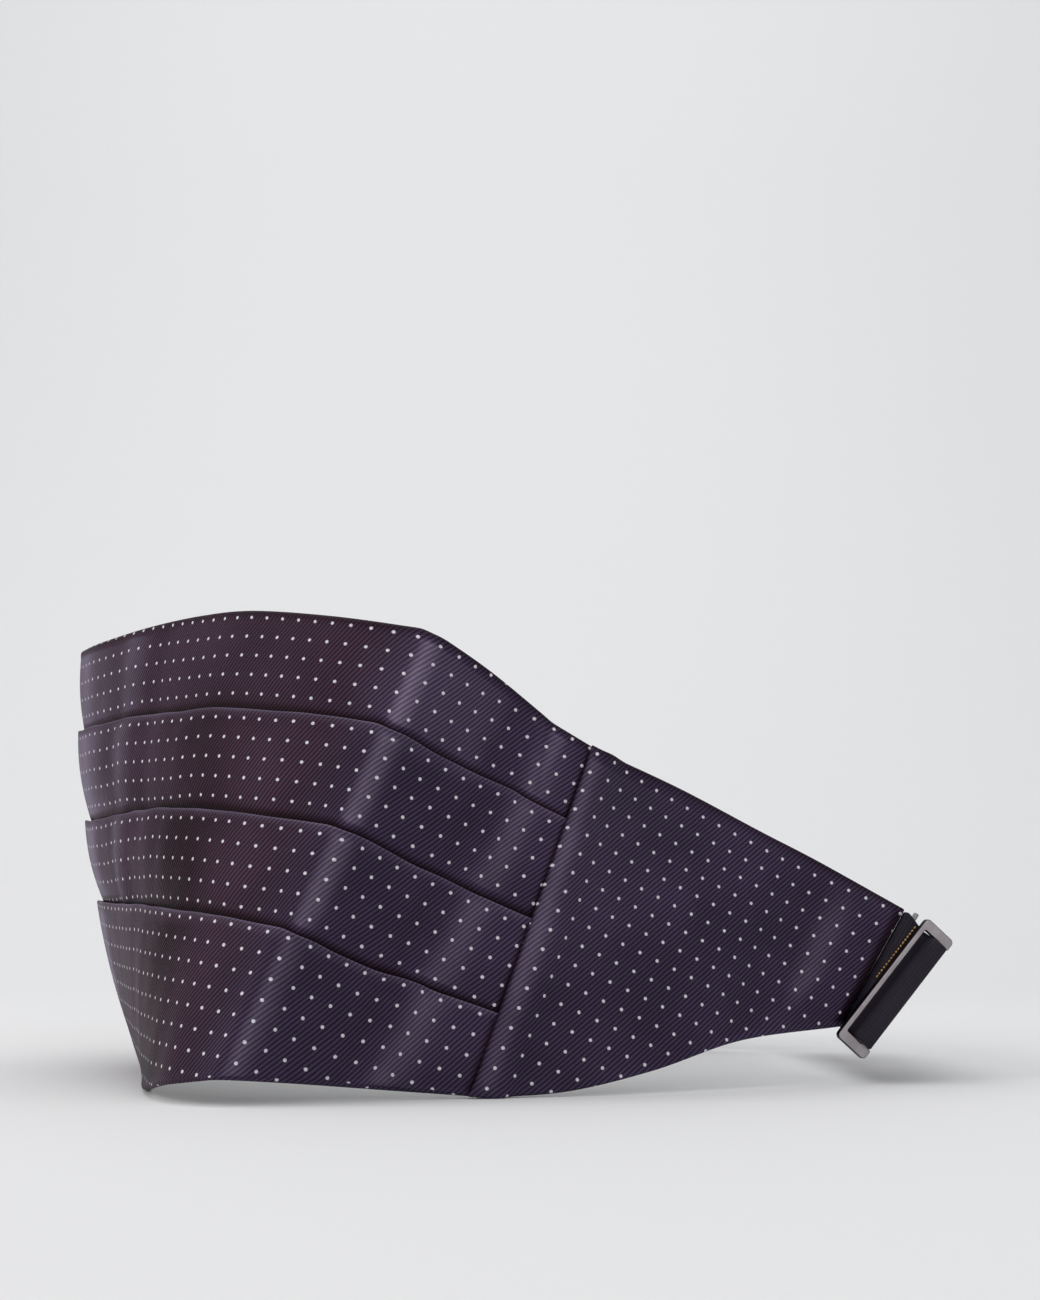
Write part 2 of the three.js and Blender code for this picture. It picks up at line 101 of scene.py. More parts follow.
RULINGS = (
    Ruling("centre_front", (0.000, 0.000, 1.002), (0.096, 0.000, 0.000), 0.045, (0.202, 0.422, 0.618), 1.0),
    Ruling("front_turn", (0.016, 0.112, 0.993), (0.108, 0.112, 0.000), 0.045, (0.202, 0.422, 0.612), 1.0),
    Ruling("front_side", (0.056, 0.252, 0.989), (0.121, 0.245, 0.000), 0.044, (0.202, 0.420, 0.610), 1.0),
    Ruling("hem_corner", (0.133, 0.422, 0.995), (0.144, 0.450, 0.000), 0.040, (0.206, 0.419, 0.617), 1.0),
    Ruling("hem_rise", (0.208, 0.578, 0.992), (0.164, 0.640, 0.000), 0.032, (0.214, 0.420, 0.624), 1.0),
    Ruling("wide_band", (0.272, 0.686, 0.982), (0.184, 0.790, 0.014), 0.022, (0.214, 0.426, 0.632), 1.0),
    Ruling("before_crease", (0.362, 0.772, 0.955), (0.216, 0.926, 0.034), 0.010, (0.215, 0.434, 0.642), 1.0),
    Ruling(
        "crease_front", (0.458, 0.818, 0.922), (0.264, 0.996, 0.048), 0.0, (0.218, 0.440, 0.660), 0.95, True
    ),
    Ruling(
        "crease_back", (0.474, 0.822, 0.905), (0.283, 0.996, 0.047), 0.0, (0.220, 0.439, 0.660), 0.95, True
    ),
    Ruling("inner_field", (0.528, 0.780, 0.838), (0.345, 0.925, 0.034), 0.0, (0.207, 0.426, 0.643), 0.9),
    Ruling(
        "second_crease", (0.592, 0.714, 0.746), (0.412, 0.868, 0.020), 0.0, (0.170, 0.393, 0.600), 0.85, True
    ),
    Ruling("seam", (0.649, 0.696, 0.683), (0.532, 0.818, 0.000), 0.0, (0.163, 0.375, 0.573), 0.55, True),
    Ruling("side_field", (0.740, 0.594, 0.614), (0.612, 0.784, 0.010), 0.0, (0, 0, 0), 0.0),
    Ruling("side_middle", (0.835, 0.520, 0.527), (0.700, 0.714, 0.044), 0.0, (0, 0, 0), 0.0),
    Ruling("side_dent", (0.905, 0.478, 0.463), (0.800, 0.602, 0.096), 0.0, (0, 0, 0), 0.0),
    Ruling("side_end", (1.000, 0.462, 0.364), (0.922, 0.472, 0.118), 0.0, (0, 0, 0), 0.0),
)
CREASE = next(i for i, ruling in enumerate(RULINGS) if ruling.name == "crease_front")
SEAM = next(i for i, ruling in enumerate(RULINGS) if ruling.name == "seam")
END = len(RULINGS) - 1
MIRROR = np.array([1, -1, 1])
MIRROR_ROW = np.array([1, -1, 1, 1, -1, 1, 1, 1, 1, 1, 1])
FLOOR_GAP = 0.1 * MM


def unit(vectors: np.ndarray) -> np.ndarray:
    """Scales vectors to length one.

    Args:
        vectors: One vector, or one in each row.

    Returns:
        The same directions.
    """
    return vectors / np.maximum(np.linalg.norm(vectors, axis=-1, keepdims=True), 1e-12)


def soften(rows: np.ndarray, reach: float) -> np.ndarray:
    """Smooths rows of numbers along their order, with both ends kept.

    Args:
        rows: Numbers, one row for each place.
        reach: Width of the smoothing, in rows.

    Returns:
        The smoothed rows.
    """
    if reach < 0.3:
        return rows
    span = min(int(3 * reach) + 1, len(rows) - 1)
    offsets = np.arange(-span, span + 1)
    weights = np.exp(-0.5 * (offsets / reach) ** 2)
    flat = rows.reshape(len(rows), -1)
    before = 2 * flat[0] - flat[span:0:-1]
    after = 2 * flat[-1] - flat[-2 : -span - 2 : -1]
    padded = np.vstack([before, flat, after])
    smooth = np.zeros_like(flat)
    for offset, weight in zip(offsets, weights / weights.sum()):
        smooth += weight * padded[span + offset : span + offset + len(flat)]
    return smooth.reshape(rows.shape)


def fade(value: np.ndarray | float, start: float, end: float) -> np.ndarray:
    """Rises smoothly from 0 at start to 1 at end.

    Args:
        value: Where to read the rise.
        start: Value up to which it is 0.
        end: Value from which it is 1.

    Returns:
        The share risen.
    """
    t = np.clip((value - start) / (end - start), 0.0, 1.0)
    return t * t * (3 - 2 * t)


def third_corner(first: np.ndarray, second: np.ndarray, to_first: float, to_second: float) -> np.ndarray:
    """Finds the third corner of a flat triangle, on the left of the way from its first to its second.

    Args:
        first: First corner.
        second: Second corner.
        to_first: Distance from the first.
        to_second: Distance from the second.

    Returns:
        The third corner.
    """
    base = np.linalg.norm(second - first)
    ahead = (second - first) / base
    step = (to_first**2 - to_second**2 + base**2) / (2 * base)
    aside = math.sqrt(max(to_first**2 - step**2, 0.0))
    return first + ahead * step + np.array([-ahead[1], ahead[0]]) * aside


@dataclass
class Walls:
    """The cloth wall at many places round the ring, in metres, one row for each place.

    Attributes:
        top: Upper ends of the rulings.
        foot: Lower ends.
        folds: Distances of the three pleat edges below the top.
        bow: Bulge at half height.
        loft: Fullness of the pleats.
        outward: Level directions out of the ring.
    """

    top: np.ndarray
    foot: np.ndarray
    folds: np.ndarray
    bow: np.ndarray
    loft: np.ndarray
    outward: np.ndarray

    @property
    def length(self) -> np.ndarray:
        """Length of each ruling."""
        return np.linalg.norm(self.foot - self.top, axis=1)

    @property
    def run(self) -> np.ndarray:
        """Distance of each place along the middle of the wall."""
        middle = (self.top + self.foot) / 2
        return np.concatenate([[0.0], np.cumsum(np.linalg.norm(np.diff(middle, axis=0), axis=1))])

    def point(self, down: np.ndarray, out: np.ndarray) -> np.ndarray:
        """Points on the wall.

        Args:
            down: Distance below the top edge, one for each place.
            out: Distance in front of the lining.

        Returns:
            One point for each place.
        """
        share = (down / self.length)[:, None]
        bulge = 4 * self.bow * share[:, 0] * (1 - share[:, 0])
        places = self.top + (self.foot - self.top) * share + self.outward * (out + bulge)[:, None]
        places[:, 2] = np.maximum(places[:, 2], FLOOR_GAP)
        return places

    def weave_frame(self, down: np.ndarray) -> tuple[np.ndarray, np.ndarray, np.ndarray]:
        """How the weave lies round one line of the wall.

        Args:
            down: Distance of the line below the top edge.

        Returns:
            The line's own length up to each place, and how the rulings lean from it, as cosine and sine.
        """
        line = self.point(down, np.full(len(down), 2 * MM))
        steps = np.linalg.norm(np.diff(line, axis=0), axis=1)
        along = np.concatenate([[0.0], np.cumsum(steps)])
        lean = np.sum(unit(np.gradient(line, axis=0)) * unit(self.foot - self.top), axis=1)
        lean = soften(lean, 7.0)
        return along, lean, np.sqrt(1 - lean**2)

    def unrolled(self, out: float) -> tuple[np.ndarray, np.ndarray]:
        """Lays the wall out flat without stretching it.

        Args:
            out: Distance in front of the lining that is laid out.

        Returns:
            Flat places of the rulings' upper and lower ends.
        """
        front = np.full(len(self.bow), out)
        top, foot = self.point(0 * front, front), self.point(self.length, front)
        upper, lower = [np.zeros(2)], [np.array([0.0, -np.linalg.norm(foot[0] - top[0])])]
        for i in range(1, len(top)):
            reach = (np.linalg.norm(top[i] - top[i - 1]), np.linalg.norm(top[i] - foot[i - 1]))
            upper.append(third_corner(upper[-1], lower[-1], *reach))
            reach = (np.linalg.norm(foot[i] - top[i]), np.linalg.norm(foot[i] - foot[i - 1]))
            lower.append(third_corner(upper[-1], lower[-1], *reach))
        return np.array(upper), np.array(lower)


@dataclass(frozen=True)
class ClothRing:
    """Form of the standing ring of cloth, from the same named sizes as the solid model.

    Attributes:
        loop_length: Centre front to the end of a side panel.
        half_depth: Mirror plane to the outermost crease.
        panel_height: Hem to top edge at the centre front.
        centre_front: Where the centre front's top edge lies from the origin.
        side_wall: Thickness of a side panel.
    """

    loop_length: float = 252 * MM
    half_depth: float = 135 * MM
    panel_height: float = 133 * MM
    centre_front: float = -131.558 * MM
    side_wall: float = 2.2 * MM

    @cached_property
    def rows(self) -> np.ndarray:
        """The table in metres on the near side: top, foot, bow, three folds and loft."""
        size = np.array([self.loop_length, -self.half_depth, self.panel_height])
        shift = np.array([self.centre_front, 0, 0])
        return np.array([
            [
                *(np.array(r.top) * size + shift),
                *(np.array(r.foot) * size + shift),
                r.bow * self.panel_height,
                *(np.array(r.folds) * self.panel_height),
                r.loft,
            ]
            for r in RULINGS
        ])

    def at(self, place: float) -> np.ndarray:
        """Reads the table between its rows, with a turn kept at a crease.

        Args:
            place: Row number, whole or in between.

        Returns:
            One row of measures.
        """
        index = min(int(place), END - 1)
        t = place - index
        opposite = self.rows[1] * MIRROR_ROW
        before = self.rows[index - 1] if index else opposite
        a, b = self.rows[index], self.rows[index + 1]
        ends_sharp = index + 1 == END or RULINGS[index + 1].crease
        slope_a = b - a if RULINGS[index].crease else (b - before) / 2
        slope_b = b - a if ends_sharp else (self.rows[index + 2] - a) / 2
        t2, t3 = t * t, t * t * t
        return (
            (2 * t3 - 3 * t2 + 1) * a
            + (t3 - 2 * t2 + t) * slope_a
            + (3 * t2 - 2 * t3) * b
            + (t3 - t2) * slope_b
        )

    def places(self, first: float, last: float, step: float) -> np.ndarray:
        """Places spaced evenly along the middle of the wall.

        Args:
            first: Place to start from.
            last: Place to end at.
            step: Distance between neighbours, in metres.

        Returns:
            The places in order.
        """
        fine = np.linspace(first, last, int((last - first) * 60) + 2)
        rows = np.array([self.at(p) for p in fine])
        middle = (rows[:, 0:3] + rows[:, 3:6]) / 2
        along = np.concatenate([[0.0], np.cumsum(np.linalg.norm(np.diff(middle, axis=0), axis=1))])
        return np.interp(np.linspace(0, along[-1], int(along[-1] / step) + 2), along, fine)

    def place_beside(self, place: float, distance: float) -> float:
        """The place at a distance along the wall from another.

        Args:
            place: Place to measure from.
            distance: How far towards the back, or towards the front if negative.

        Returns:
            The place there.
        """
        span = 0.2 if distance > 0 else -0.2
        a, b = self.at(place), self.at(place + span)
        length = np.linalg.norm((b[0:3] + b[3:6] - a[0:3] - a[3:6]) / 2)
        return place + span * abs(distance) / length

    def walls(self, places: np.ndarray, both_sides: bool, softness: float) -> Walls:
        """Walls at a row of places.

        Args:
            places: Places in order towards the back.
            both_sides: Whether the mirrored half is joined on before the first place.
            softness: Rounding of the creases, in metres.

        Returns:
            The walls, from the far side to the near one if both are made.
        """
        rows = np.array([self.at(p) for p in places])
        if both_sides:
            rows = np.vstack([rows[:0:-1] * MIRROR_ROW, rows])
        middle = (rows[:, 0:3] + rows[:, 3:6]) / 2
        step = np.linalg.norm(np.diff(middle, axis=0), axis=1).mean()
        rows = soften(rows, softness / step)
        middle = (rows[:, 0:3] + rows[:, 3:6]) / 2
        run = unit(np.gradient(middle[:, :2], axis=0))
        outward = np.column_stack([run[:, 1], -run[:, 0], np.zeros(len(run))])
        return Walls(
            top=rows[:, 0:3],
            foot=rows[:, 3:6],
            folds=rows[:, 7:10],
            bow=rows[:, 6],
            loft=rows[:, 10],
            outward=unit(soften(outward, 1.2 * MM / step)),
        )


@dataclass
class Section:
    """Cross-section of a wall, as columns of distances that all the places share.

    Attributes:
        down: Distances below the top edge, an array for each column.
        out: Distances in front of the lining.
        band: Band of cloth that the strip after each column belongs to.
        layer: Which cloth that strip shows.
        tone: Painted light on the cloth, from -1 for painted shade in a crevice to 1 for a painted highlight
            on a fold's ridge.
        anchors: Column from which each band's weave is measured.
    """

    down: list[np.ndarray] = field(default_factory=list)
    out: list[np.ndarray] = field(default_factory=list)
    band: list[int] = field(default_factory=list)
    layer: list[Layer] = field(default_factory=list)
    tone: list[np.ndarray] = field(default_factory=list)
    anchors: dict[int, int] = field(default_factory=dict)

    def add(
        self,
        down: np.ndarray,
        out: np.ndarray,
        band: int,
        layer: Layer = Layer.OUTER,
        tone: np.ndarray | float = 0.0,
    ) -> None:
        """Adds a column.

        Args:
            down: Distances below the top edge.
            out: Distances in front of the lining.
            band: Band of the strip after the column.
            layer: Which cloth that strip shows.
            tone: Painted light on the strip: painted highlight above 0, painted shade below.
        """
        self.down.append(down)
        self.out.append(out)
        self.band.append(band)
        self.layer.append(layer)
        self.tone.append(np.zeros_like(down) + tone)

    def arc(
        self,
        centre: tuple[np.ndarray, np.ndarray],
        radii: tuple[np.ndarray, np.ndarray],
        turn: tuple[float, float],
        count: int,
        band: int,
        tones: tuple[float, float] = (0.0, 0.0),
    ) -> None:
        """Adds a rounded edge.

        Args:
            centre: Its middle, down and out.
            radii: Its half width down and out.
            turn: First and last angle in degrees, from the downward direction towards the outside.
            count: Number of columns.
            band: Band of its strips.
            tones: Tone at its first and last column.
        """
        for angle, tone in zip(np.radians(np.linspace(*turn, count)), np.linspace(*tones, count)):
            down = centre[0] + radii[0] * math.cos(angle)
            self.add(down, centre[1] + radii[1] * math.sin(angle), band, tone=tone)

    def anchor(self, band: int) -> None:
        """Measures a band's weave from the column added last."""
        self.anchors[band] = len(self.down) - 1


def closed_mesh(
    name: str,
    grid: np.ndarray,
    strip_uv: np.ndarray | None = None,
    strip_material: Sequence[int] | None = None,
    tone: np.ndarray | None = None,
) -> bpy.types.Object:
    """Builds a closed, smooth mesh through rings of points.

    Args:
        name: The new object's name.
        grid: Points as rings by columns by coordinates.
        strip_uv: Pattern coordinates as rings by columns by the strip's two edges by two numbers.
        strip_material: Material place of the strip after each column.
        tone: Painted light and shade of the cloth at each point, as rings by columns.

    Returns:
        The new object, with its faces outwards.
    """
    rings, columns = grid.shape[:2]
    points = grid.reshape(-1, 3)
    i, j = np.meshgrid(np.arange(rings - 1), np.arange(columns), indexing="ij")
    k = (j + 1) % columns
    corners = [i * columns + j, i * columns + k, (i + 1) * columns + k, (i + 1) * columns + j]
    quads = np.stack([c.ravel() for c in corners], axis=1)
    if strip_uv is None:
        strip_uv = np.zeros((rings, columns, 2, 2))
    pairs = [strip_uv[:-1, :, 0], strip_uv[:-1, :, 1], strip_uv[1:, :, 1], strip_uv[1:, :, 0]]
    uv = np.stack([p.reshape(-1, 2) for p in pairs], axis=1)
    a, b, c, d = (points[quads[:, n]] for n in range(4))
    volume = float(np.sum(a * np.cross(b, c)) + np.sum(a * np.cross(c, d)))
    caps = []
    for ring, start in ((grid[0], 0), (grid[-1], (rings - 1) * columns)):
        centre = ring.mean(axis=0)
        axes = np.linalg.svd(ring - centre, full_matrices=False)[2][:2]
        flat = (ring - centre) @ axes.T
        for tri in tessellate_polygon([[Vector((x, y, 0)) for x, y in flat]]):
            normal = np.cross(ring[tri[1]] - ring[tri[0]], ring[tri[2]] - ring[tri[0]])
            beyond = centre - grid[1 if start == 0 else -2].mean(axis=0)
            caps.append([start + v for v in (tri if normal @ beyond > 0 else tri[::-1])])
    if volume < 0:
        quads, uv = quads[:, ::-1], uv[:, ::-1]
    faces = quads.tolist() + caps
    mesh = bpy.data.meshes.new(name)
    mesh.from_pydata(points.tolist(), [], faces)
    loop_uv = np.concatenate([uv.reshape(-1, 2), np.full((3 * len(caps), 2), 0.5)])
    mesh.uv_layers.new(name=PATTERN_MAP).data.foreach_set("uv", loop_uv.astype(np.float32).ravel())
    if strip_material is not None:
        index = np.concatenate([np.tile(strip_material, rings - 1), np.zeros(len(caps))])
        mesh.polygons.foreach_set("material_index", index.astype(np.int32))
    if tone is not None:
        mesh.attributes.new(PAINTED_LIGHT_TONE, "FLOAT", "POINT").data.foreach_set("value", tone.astype(np.float32).ravel())
    mesh.polygons.foreach_set("use_smooth", np.ones(len(mesh.polygons), bool))
    mesh.update()
    obj = bpy.data.objects.new(name, mesh)
    bpy.context.scene.collection.objects.link(obj)
    return obj


def ripple(walls: Walls, down: np.ndarray, height: float, seed: float) -> np.ndarray:
    """Slight unevenness of ironed cloth, longer down the wall than along it.

    Args:
        walls: The walls it lies on.
        down: Distances below the top edge.
        height: Largest rise and fall.
        seed: Number that picks the pattern.

    Returns:
        How far the cloth stands out at each place.
    """
    run = walls.run
    return height * np.array([
        noise.noise(Vector((r / (11 * MM), d / (34 * MM), seed))) for r, d in zip(run, down)
    ])


@dataclass(frozen=True)
class SoftRidge:
    """A shallow vertical ridge or dent in the front with its band of painted highlight or shade, on both
    halves alike; with no rise it is a band of painted light only.

    Attributes:
        column: Its place in dot columns from the storage crease, towards the back.
        half_width: Half of its width.
        rise: How far it stands out, negative for a dent.
        tone: Painted highlight along it, or painted shade where negative.
        span: Shares of the height between which it shows.
        slant: Columns by which it leans over the whole height.
    """

    column: float
    half_width: float
    rise: float
    tone: float
    span: tuple[float, float] = (-0.1, 1.1)
    slant: float = 0.0

    def mask(self, columns: np.ndarray, share: np.ndarray) -> np.ndarray:
        """How far each point belongs to it.

        Args:
            columns: Dot columns of the places.
            share: Shares of the height of the points.

        Returns:
            A number from 0 to 1 for each place.
        """
        middle = self.column + self.slant * share
        mirrored = columns[0] + columns[-1] - columns
        first, last = self.span
        shown = fade(share, first - 0.08, first) * (1 - fade(share, last, last + 0.08))
        across = sum(
            np.exp(-(((near - middle) * DOT_PITCH / self.half_width) ** 2)) for near in (columns, mirrored)
        )
        return np.minimum(across, 1.0) * shown


@dataclass
class PleatedFront:
    """Front of four overlapping bands on one backing, from seam to seam.

    Attributes:
        ring: The form it follows.
        backing: Thickness of the lined backing.
        pleat: Thickness of a folded pleat.
        pocket: Opening behind a pleat.
        mouth: How much wider that opening is at the pleat's edge.
        pocket_depth: How far down the opening goes.
        turnover: Width of the outer cloth folded to the inside along both edges.
        lap: Width by which the side panels lap over the ends.
        step: Distance between neighbouring rulings.
        hem_round: How far the rounded top edge and hem reach along the wall.
        row_places: Where each band's first dot row lies below its edge, in pitches.
        column_places: Where each band's dot columns lie at the crease, in pitches.
        unevenness: Rise and fall of the ironed cloth.
        ridges: Shallow ridges and dents of the standing cloth, with their bands of painted highlight and
            shade.
    """

    ring: ClothRing
    backing: float = 1.2 * MM
    pleat: float = 1.2 * MM
    pocket: float = 0.6 * MM
    mouth: float = 0.5 * MM
    pocket_depth: float = 9 * MM
    turnover: float = 8 * MM
    lap: float = 5 * MM
    step: float = 1.15 * MM
    hem_round: float = 1.2 * MM
    row_places: tuple[float, ...] = (0.20, 0.55, 0.55, 0.35)
    column_places: tuple[float, ...] = (-0.10, -0.45, -0.65, -0.95)
    unevenness: float = 0.42 * MM
    # The fourth number of each ridge is a painted highlight, or painted shade where negative; those with no
    # rise are bands of painted light only, such as the painted sheen round the centre front.
    ridges: tuple[SoftRidge, ...] = (
        SoftRidge(-31.0, 30.0 * MM, 0.0, 0.78, (-0.1, 0.8)),
        SoftRidge(-33.0, 16.0 * MM, 0.0, 0.42, (0.24, 0.78)),
        SoftRidge(-18.4, 5.5 * MM, 0.8 * MM, 0.42, (0.03, 0.60)),
        SoftRidge(-15.6, 4.5 * MM, -0.5 * MM, -0.12, (0.0, 0.45)),
        SoftRidge(-9.5, 27.0 * MM, 0.0, -0.42, (0.22, 1.1)),
        SoftRidge(-9.0, 20.0 * MM, 0.0, -0.20, (0.46, 1.1)),
        SoftRidge(-7.0, 16.0 * MM, -0.4 * MM, -0.08, slant=-3.0),
        SoftRidge(0.15, 1.2 * MM, 0.3 * MM, 0.38),
        SoftRidge(0.5, 2.2 * MM, 0.4 * MM, 0.30),
        SoftRidge(0.5, 2.2 * MM, 0.4 * MM, 0.20, (-0.1, 0.62)),
        SoftRidge(0.6, 2.4 * MM, 0.0, 0.18, (0.22, 0.62)),
        SoftRidge(3.0, 18.0 * MM, 0.0, 0.22, (-0.1, 0.22)),
        SoftRidge(3.4, 7.0 * MM, -0.5 * MM, -0.05, (0.05, 0.95)),
        SoftRidge(6.0, 4.5 * MM, -0.8 * MM, -0.20, (0.05, 1.1), -0.8),
        SoftRidge(8.3, 4.6 * MM, 0.7 * MM, 0.36, (0.03, 1.1), -0.9),
        SoftRidge(7.2, 1.2 * MM, -0.25 * MM, -0.12, (0.02, 0.16), 6.0),
        SoftRidge(9.2, 1.2 * MM, -0.25 * MM, -0.12, (0.02, 0.16), -5.0),
    )

    def section(self, walls: Walls, columns: np.ndarray) -> Section:
        """Cross-section of the pleated wall.

        Args:
            walls: The walls at all places.
            columns: Dot column of each place.

        Returns:
            The columns, from the middle of the lining over the top edge and down to the hem.
        """
        section = Section()
        length, loft = walls.length, walls.loft
        zero = np.zeros_like(length)
        lift = self.pleat * loft
        full = self.backing + lift
        inner = -0.3 * MM + zero
        for share in (0.5, 0.4, 0.3, 0.2):
            section.add(length * share, zero, 0, Layer.LINING)
        section.add(self.turnover + 0.3 * MM + zero, zero, 0, Layer.LINING)
        section.add(self.turnover + zero, inner, 0)
        section.add(self.turnover / 2 + zero, inner, 0)
        edge = (self.hem_round + zero, full / 2), (self.hem_round + zero, full / 2 - inner)
        # The top edge's arc carries painted shade along the turned edge.
        section.arc(*edge, (270, 90), 9, 0, (-1.0, -0.5))
        edge_down, edge_out = self.hem_round + zero, full - inner / 2
        seam_shade = self.seam_shade(walls)
        for band in range(4):
            last = band == 3
            end = length - self.hem_round if last else walls.folds[:, band]
            end_out = full if last else self.backing + lift * 0.25
            swell = (0.35 if band else 0.2) * MM * loft
            for share in (*np.linspace(0, 0.9, 12)[1:], 0.95, 1.0):
                down = edge_down + (end - edge_down) * share
                out = edge_out + (end_out - edge_out) * share**2.5 + swell * math.sin(math.pi * share)
                settled = math.sin(math.pi * (0.08 + 0.84 * share))
                out = out + ripple(walls, down, self.unevenness, 3.1 + band) * settled
                masks = [ridge.mask(columns, down / length) for ridge in self.ridges]
                out = out + sum(ridge.rise * mask for ridge, mask in zip(self.ridges, masks))
                # Painted light on each band: the ridges' painted highlight and shade, painted shade beside
                # the side panels' folded edges, and painted shade in the crevice just above the next fold.
                tone = sum(ridge.tone * mask for ridge, mask in zip(self.ridges, masks)) - seam_shade
                crevice = 0.0 if last else float(fade(share, 0.9, 1.0))
                section.add(down, out, band, tone=tone * (1 - crevice) - crevice)
            if band == 0:
                section.anchor(0)
            if last:
                break
            fold = walls.folds[:, band] + ripple(walls, zero, 0.35 * MM, 11.7 + band)
            under = fold + self.pocket_depth
            back = self.backing + self.pocket * loft
            wave = ripple(walls, zero + 40 * MM, 0.3 * MM, 21.3 + band)
            lip = back + self.mouth * loft + wave
            # The pocket behind each fold is painted in shade.
            for share in (0.4, 0.8):
                deep = end + self.pocket_depth * share
                section.add(deep, end_out + (self.backing - end_out) * share, band, tone=-1.0)
            section.add(under, self.backing + zero, band, tone=-1.0)
            section.add(under, back, band + 1, tone=-1.0)
            for share in (0.3, 0.6):
                deep = under + (fold - under) * share
                section.add(deep, back + (lip - back) * share**2, band + 1, tone=-1.0)
            # Each fold's rounded lip carries a painted highlight on its top, running into the painted shade
            # of the pocket behind it.
            radius = lift * 0.52
            centre = (fold + radius, lip + radius)
            section.arc(centre, (radius, radius), (270, 180), 5, band + 1, (-1.0, 0.9))
            section.anchor(band + 1)
            section.arc(centre, (radius, radius), (160, 90), 4, band + 1, (0.9, 0.2))
            edge_down, edge_out = fold + radius, lip + 2 * radius
        hem = (length - self.hem_round, full / 2), (self.hem_round + zero, full / 2 - inner)
        section.arc(*hem, (90, -90), 9, 3)
        section.add(length - self.turnover, inner, 3)
        section.add(length - self.turnover - 0.3 * MM, zero, 3, Layer.LINING)
        for share in (0.8, 0.7, 0.6):
            section.add(length * share, zero, 3, Layer.LINING)
        return section

    def seam_shade(self, walls: Walls) -> np.ndarray:
        """Strength of the painted shade along the side panels' folded edges, where the pleats pass under the
        lap.

        Args:
            walls: The walls at all places.

        Returns:
            A number from 0 to 1 for each place.
        """
        run = walls.run
        from_end = np.minimum(run, run[-1] - run)
        return 1 - fade(np.abs(from_end - self.lap + 0.4 * MM), 0.6 * MM, 1.6 * MM)

    def weave_map(self, walls: Walls, section: Section) -> np.ndarray:
        """Pattern coordinates, in which the dots lie on whole numbers.

        Args:
            walls: The walls at all places.
            section: Their cross-section.

        Returns:
            Coordinates as places by columns by the strip's two edges by two numbers.
        """
        down, out = np.array(section.down), np.array(section.out)
        steps = np.hypot(np.diff(down, axis=0, append=down[:1]), np.diff(out, axis=0, append=out[:1]))
        depth = np.vstack([np.zeros(len(walls.bow)), np.cumsum(steps, axis=0)])
        crease = self.crease_index(walls)
        uv = np.zeros((len(walls.bow), len(section.band), 2, 2))
        for band in range(4):
            along, lean, upright = walls.weave_frame(walls.folds[:, max(0, band - 1)])
            below = (depth - depth[section.anchors[band]]) / DOT_PITCH
            u = (along - along[crease]) / DOT_PITCH + below * lean - self.column_places[band]
            v = below * upright - self.row_places[band]
            for column in (c for c, b in enumerate(section.band) if b == band):
                for edge in (0, 1):
                    uv[:, column, edge, 0] = u[column + edge]
                    uv[:, column, edge, 1] = v[column + edge]
        return uv

    def crease_index(self, walls: Walls) -> int:
        """Row of the near storage crease among the walls, from the far seam to the near one."""
        crease = self.ring.at(CREASE + 0.5)[0:3]
        near = np.linalg.norm(walls.top - crease, axis=1)
        return int(near.argmin())

    def build(self) -> bpy.types.Object:
        """Builds the front.

        Returns:
            The new object.
        """
        places = self.ring.places(0.0, SEAM, self.step)
        walls = self.ring.walls(places, True, 0.9 * MM)
        along = walls.weave_frame(walls.folds[:, 1])[0]
        columns = (along - along[self.crease_index(walls)]) / DOT_PITCH
        section = self.section(walls, columns)
        grid = np.stack([walls.point(d, o) for d, o in zip(section.down, section.out)], axis=1)
        layers = [layer.value for layer in section.layer]
        uv = self.weave_map(walls, section)
        return closed_mesh("pleated_front", grid, uv, layers, np.array(section.tone).T)


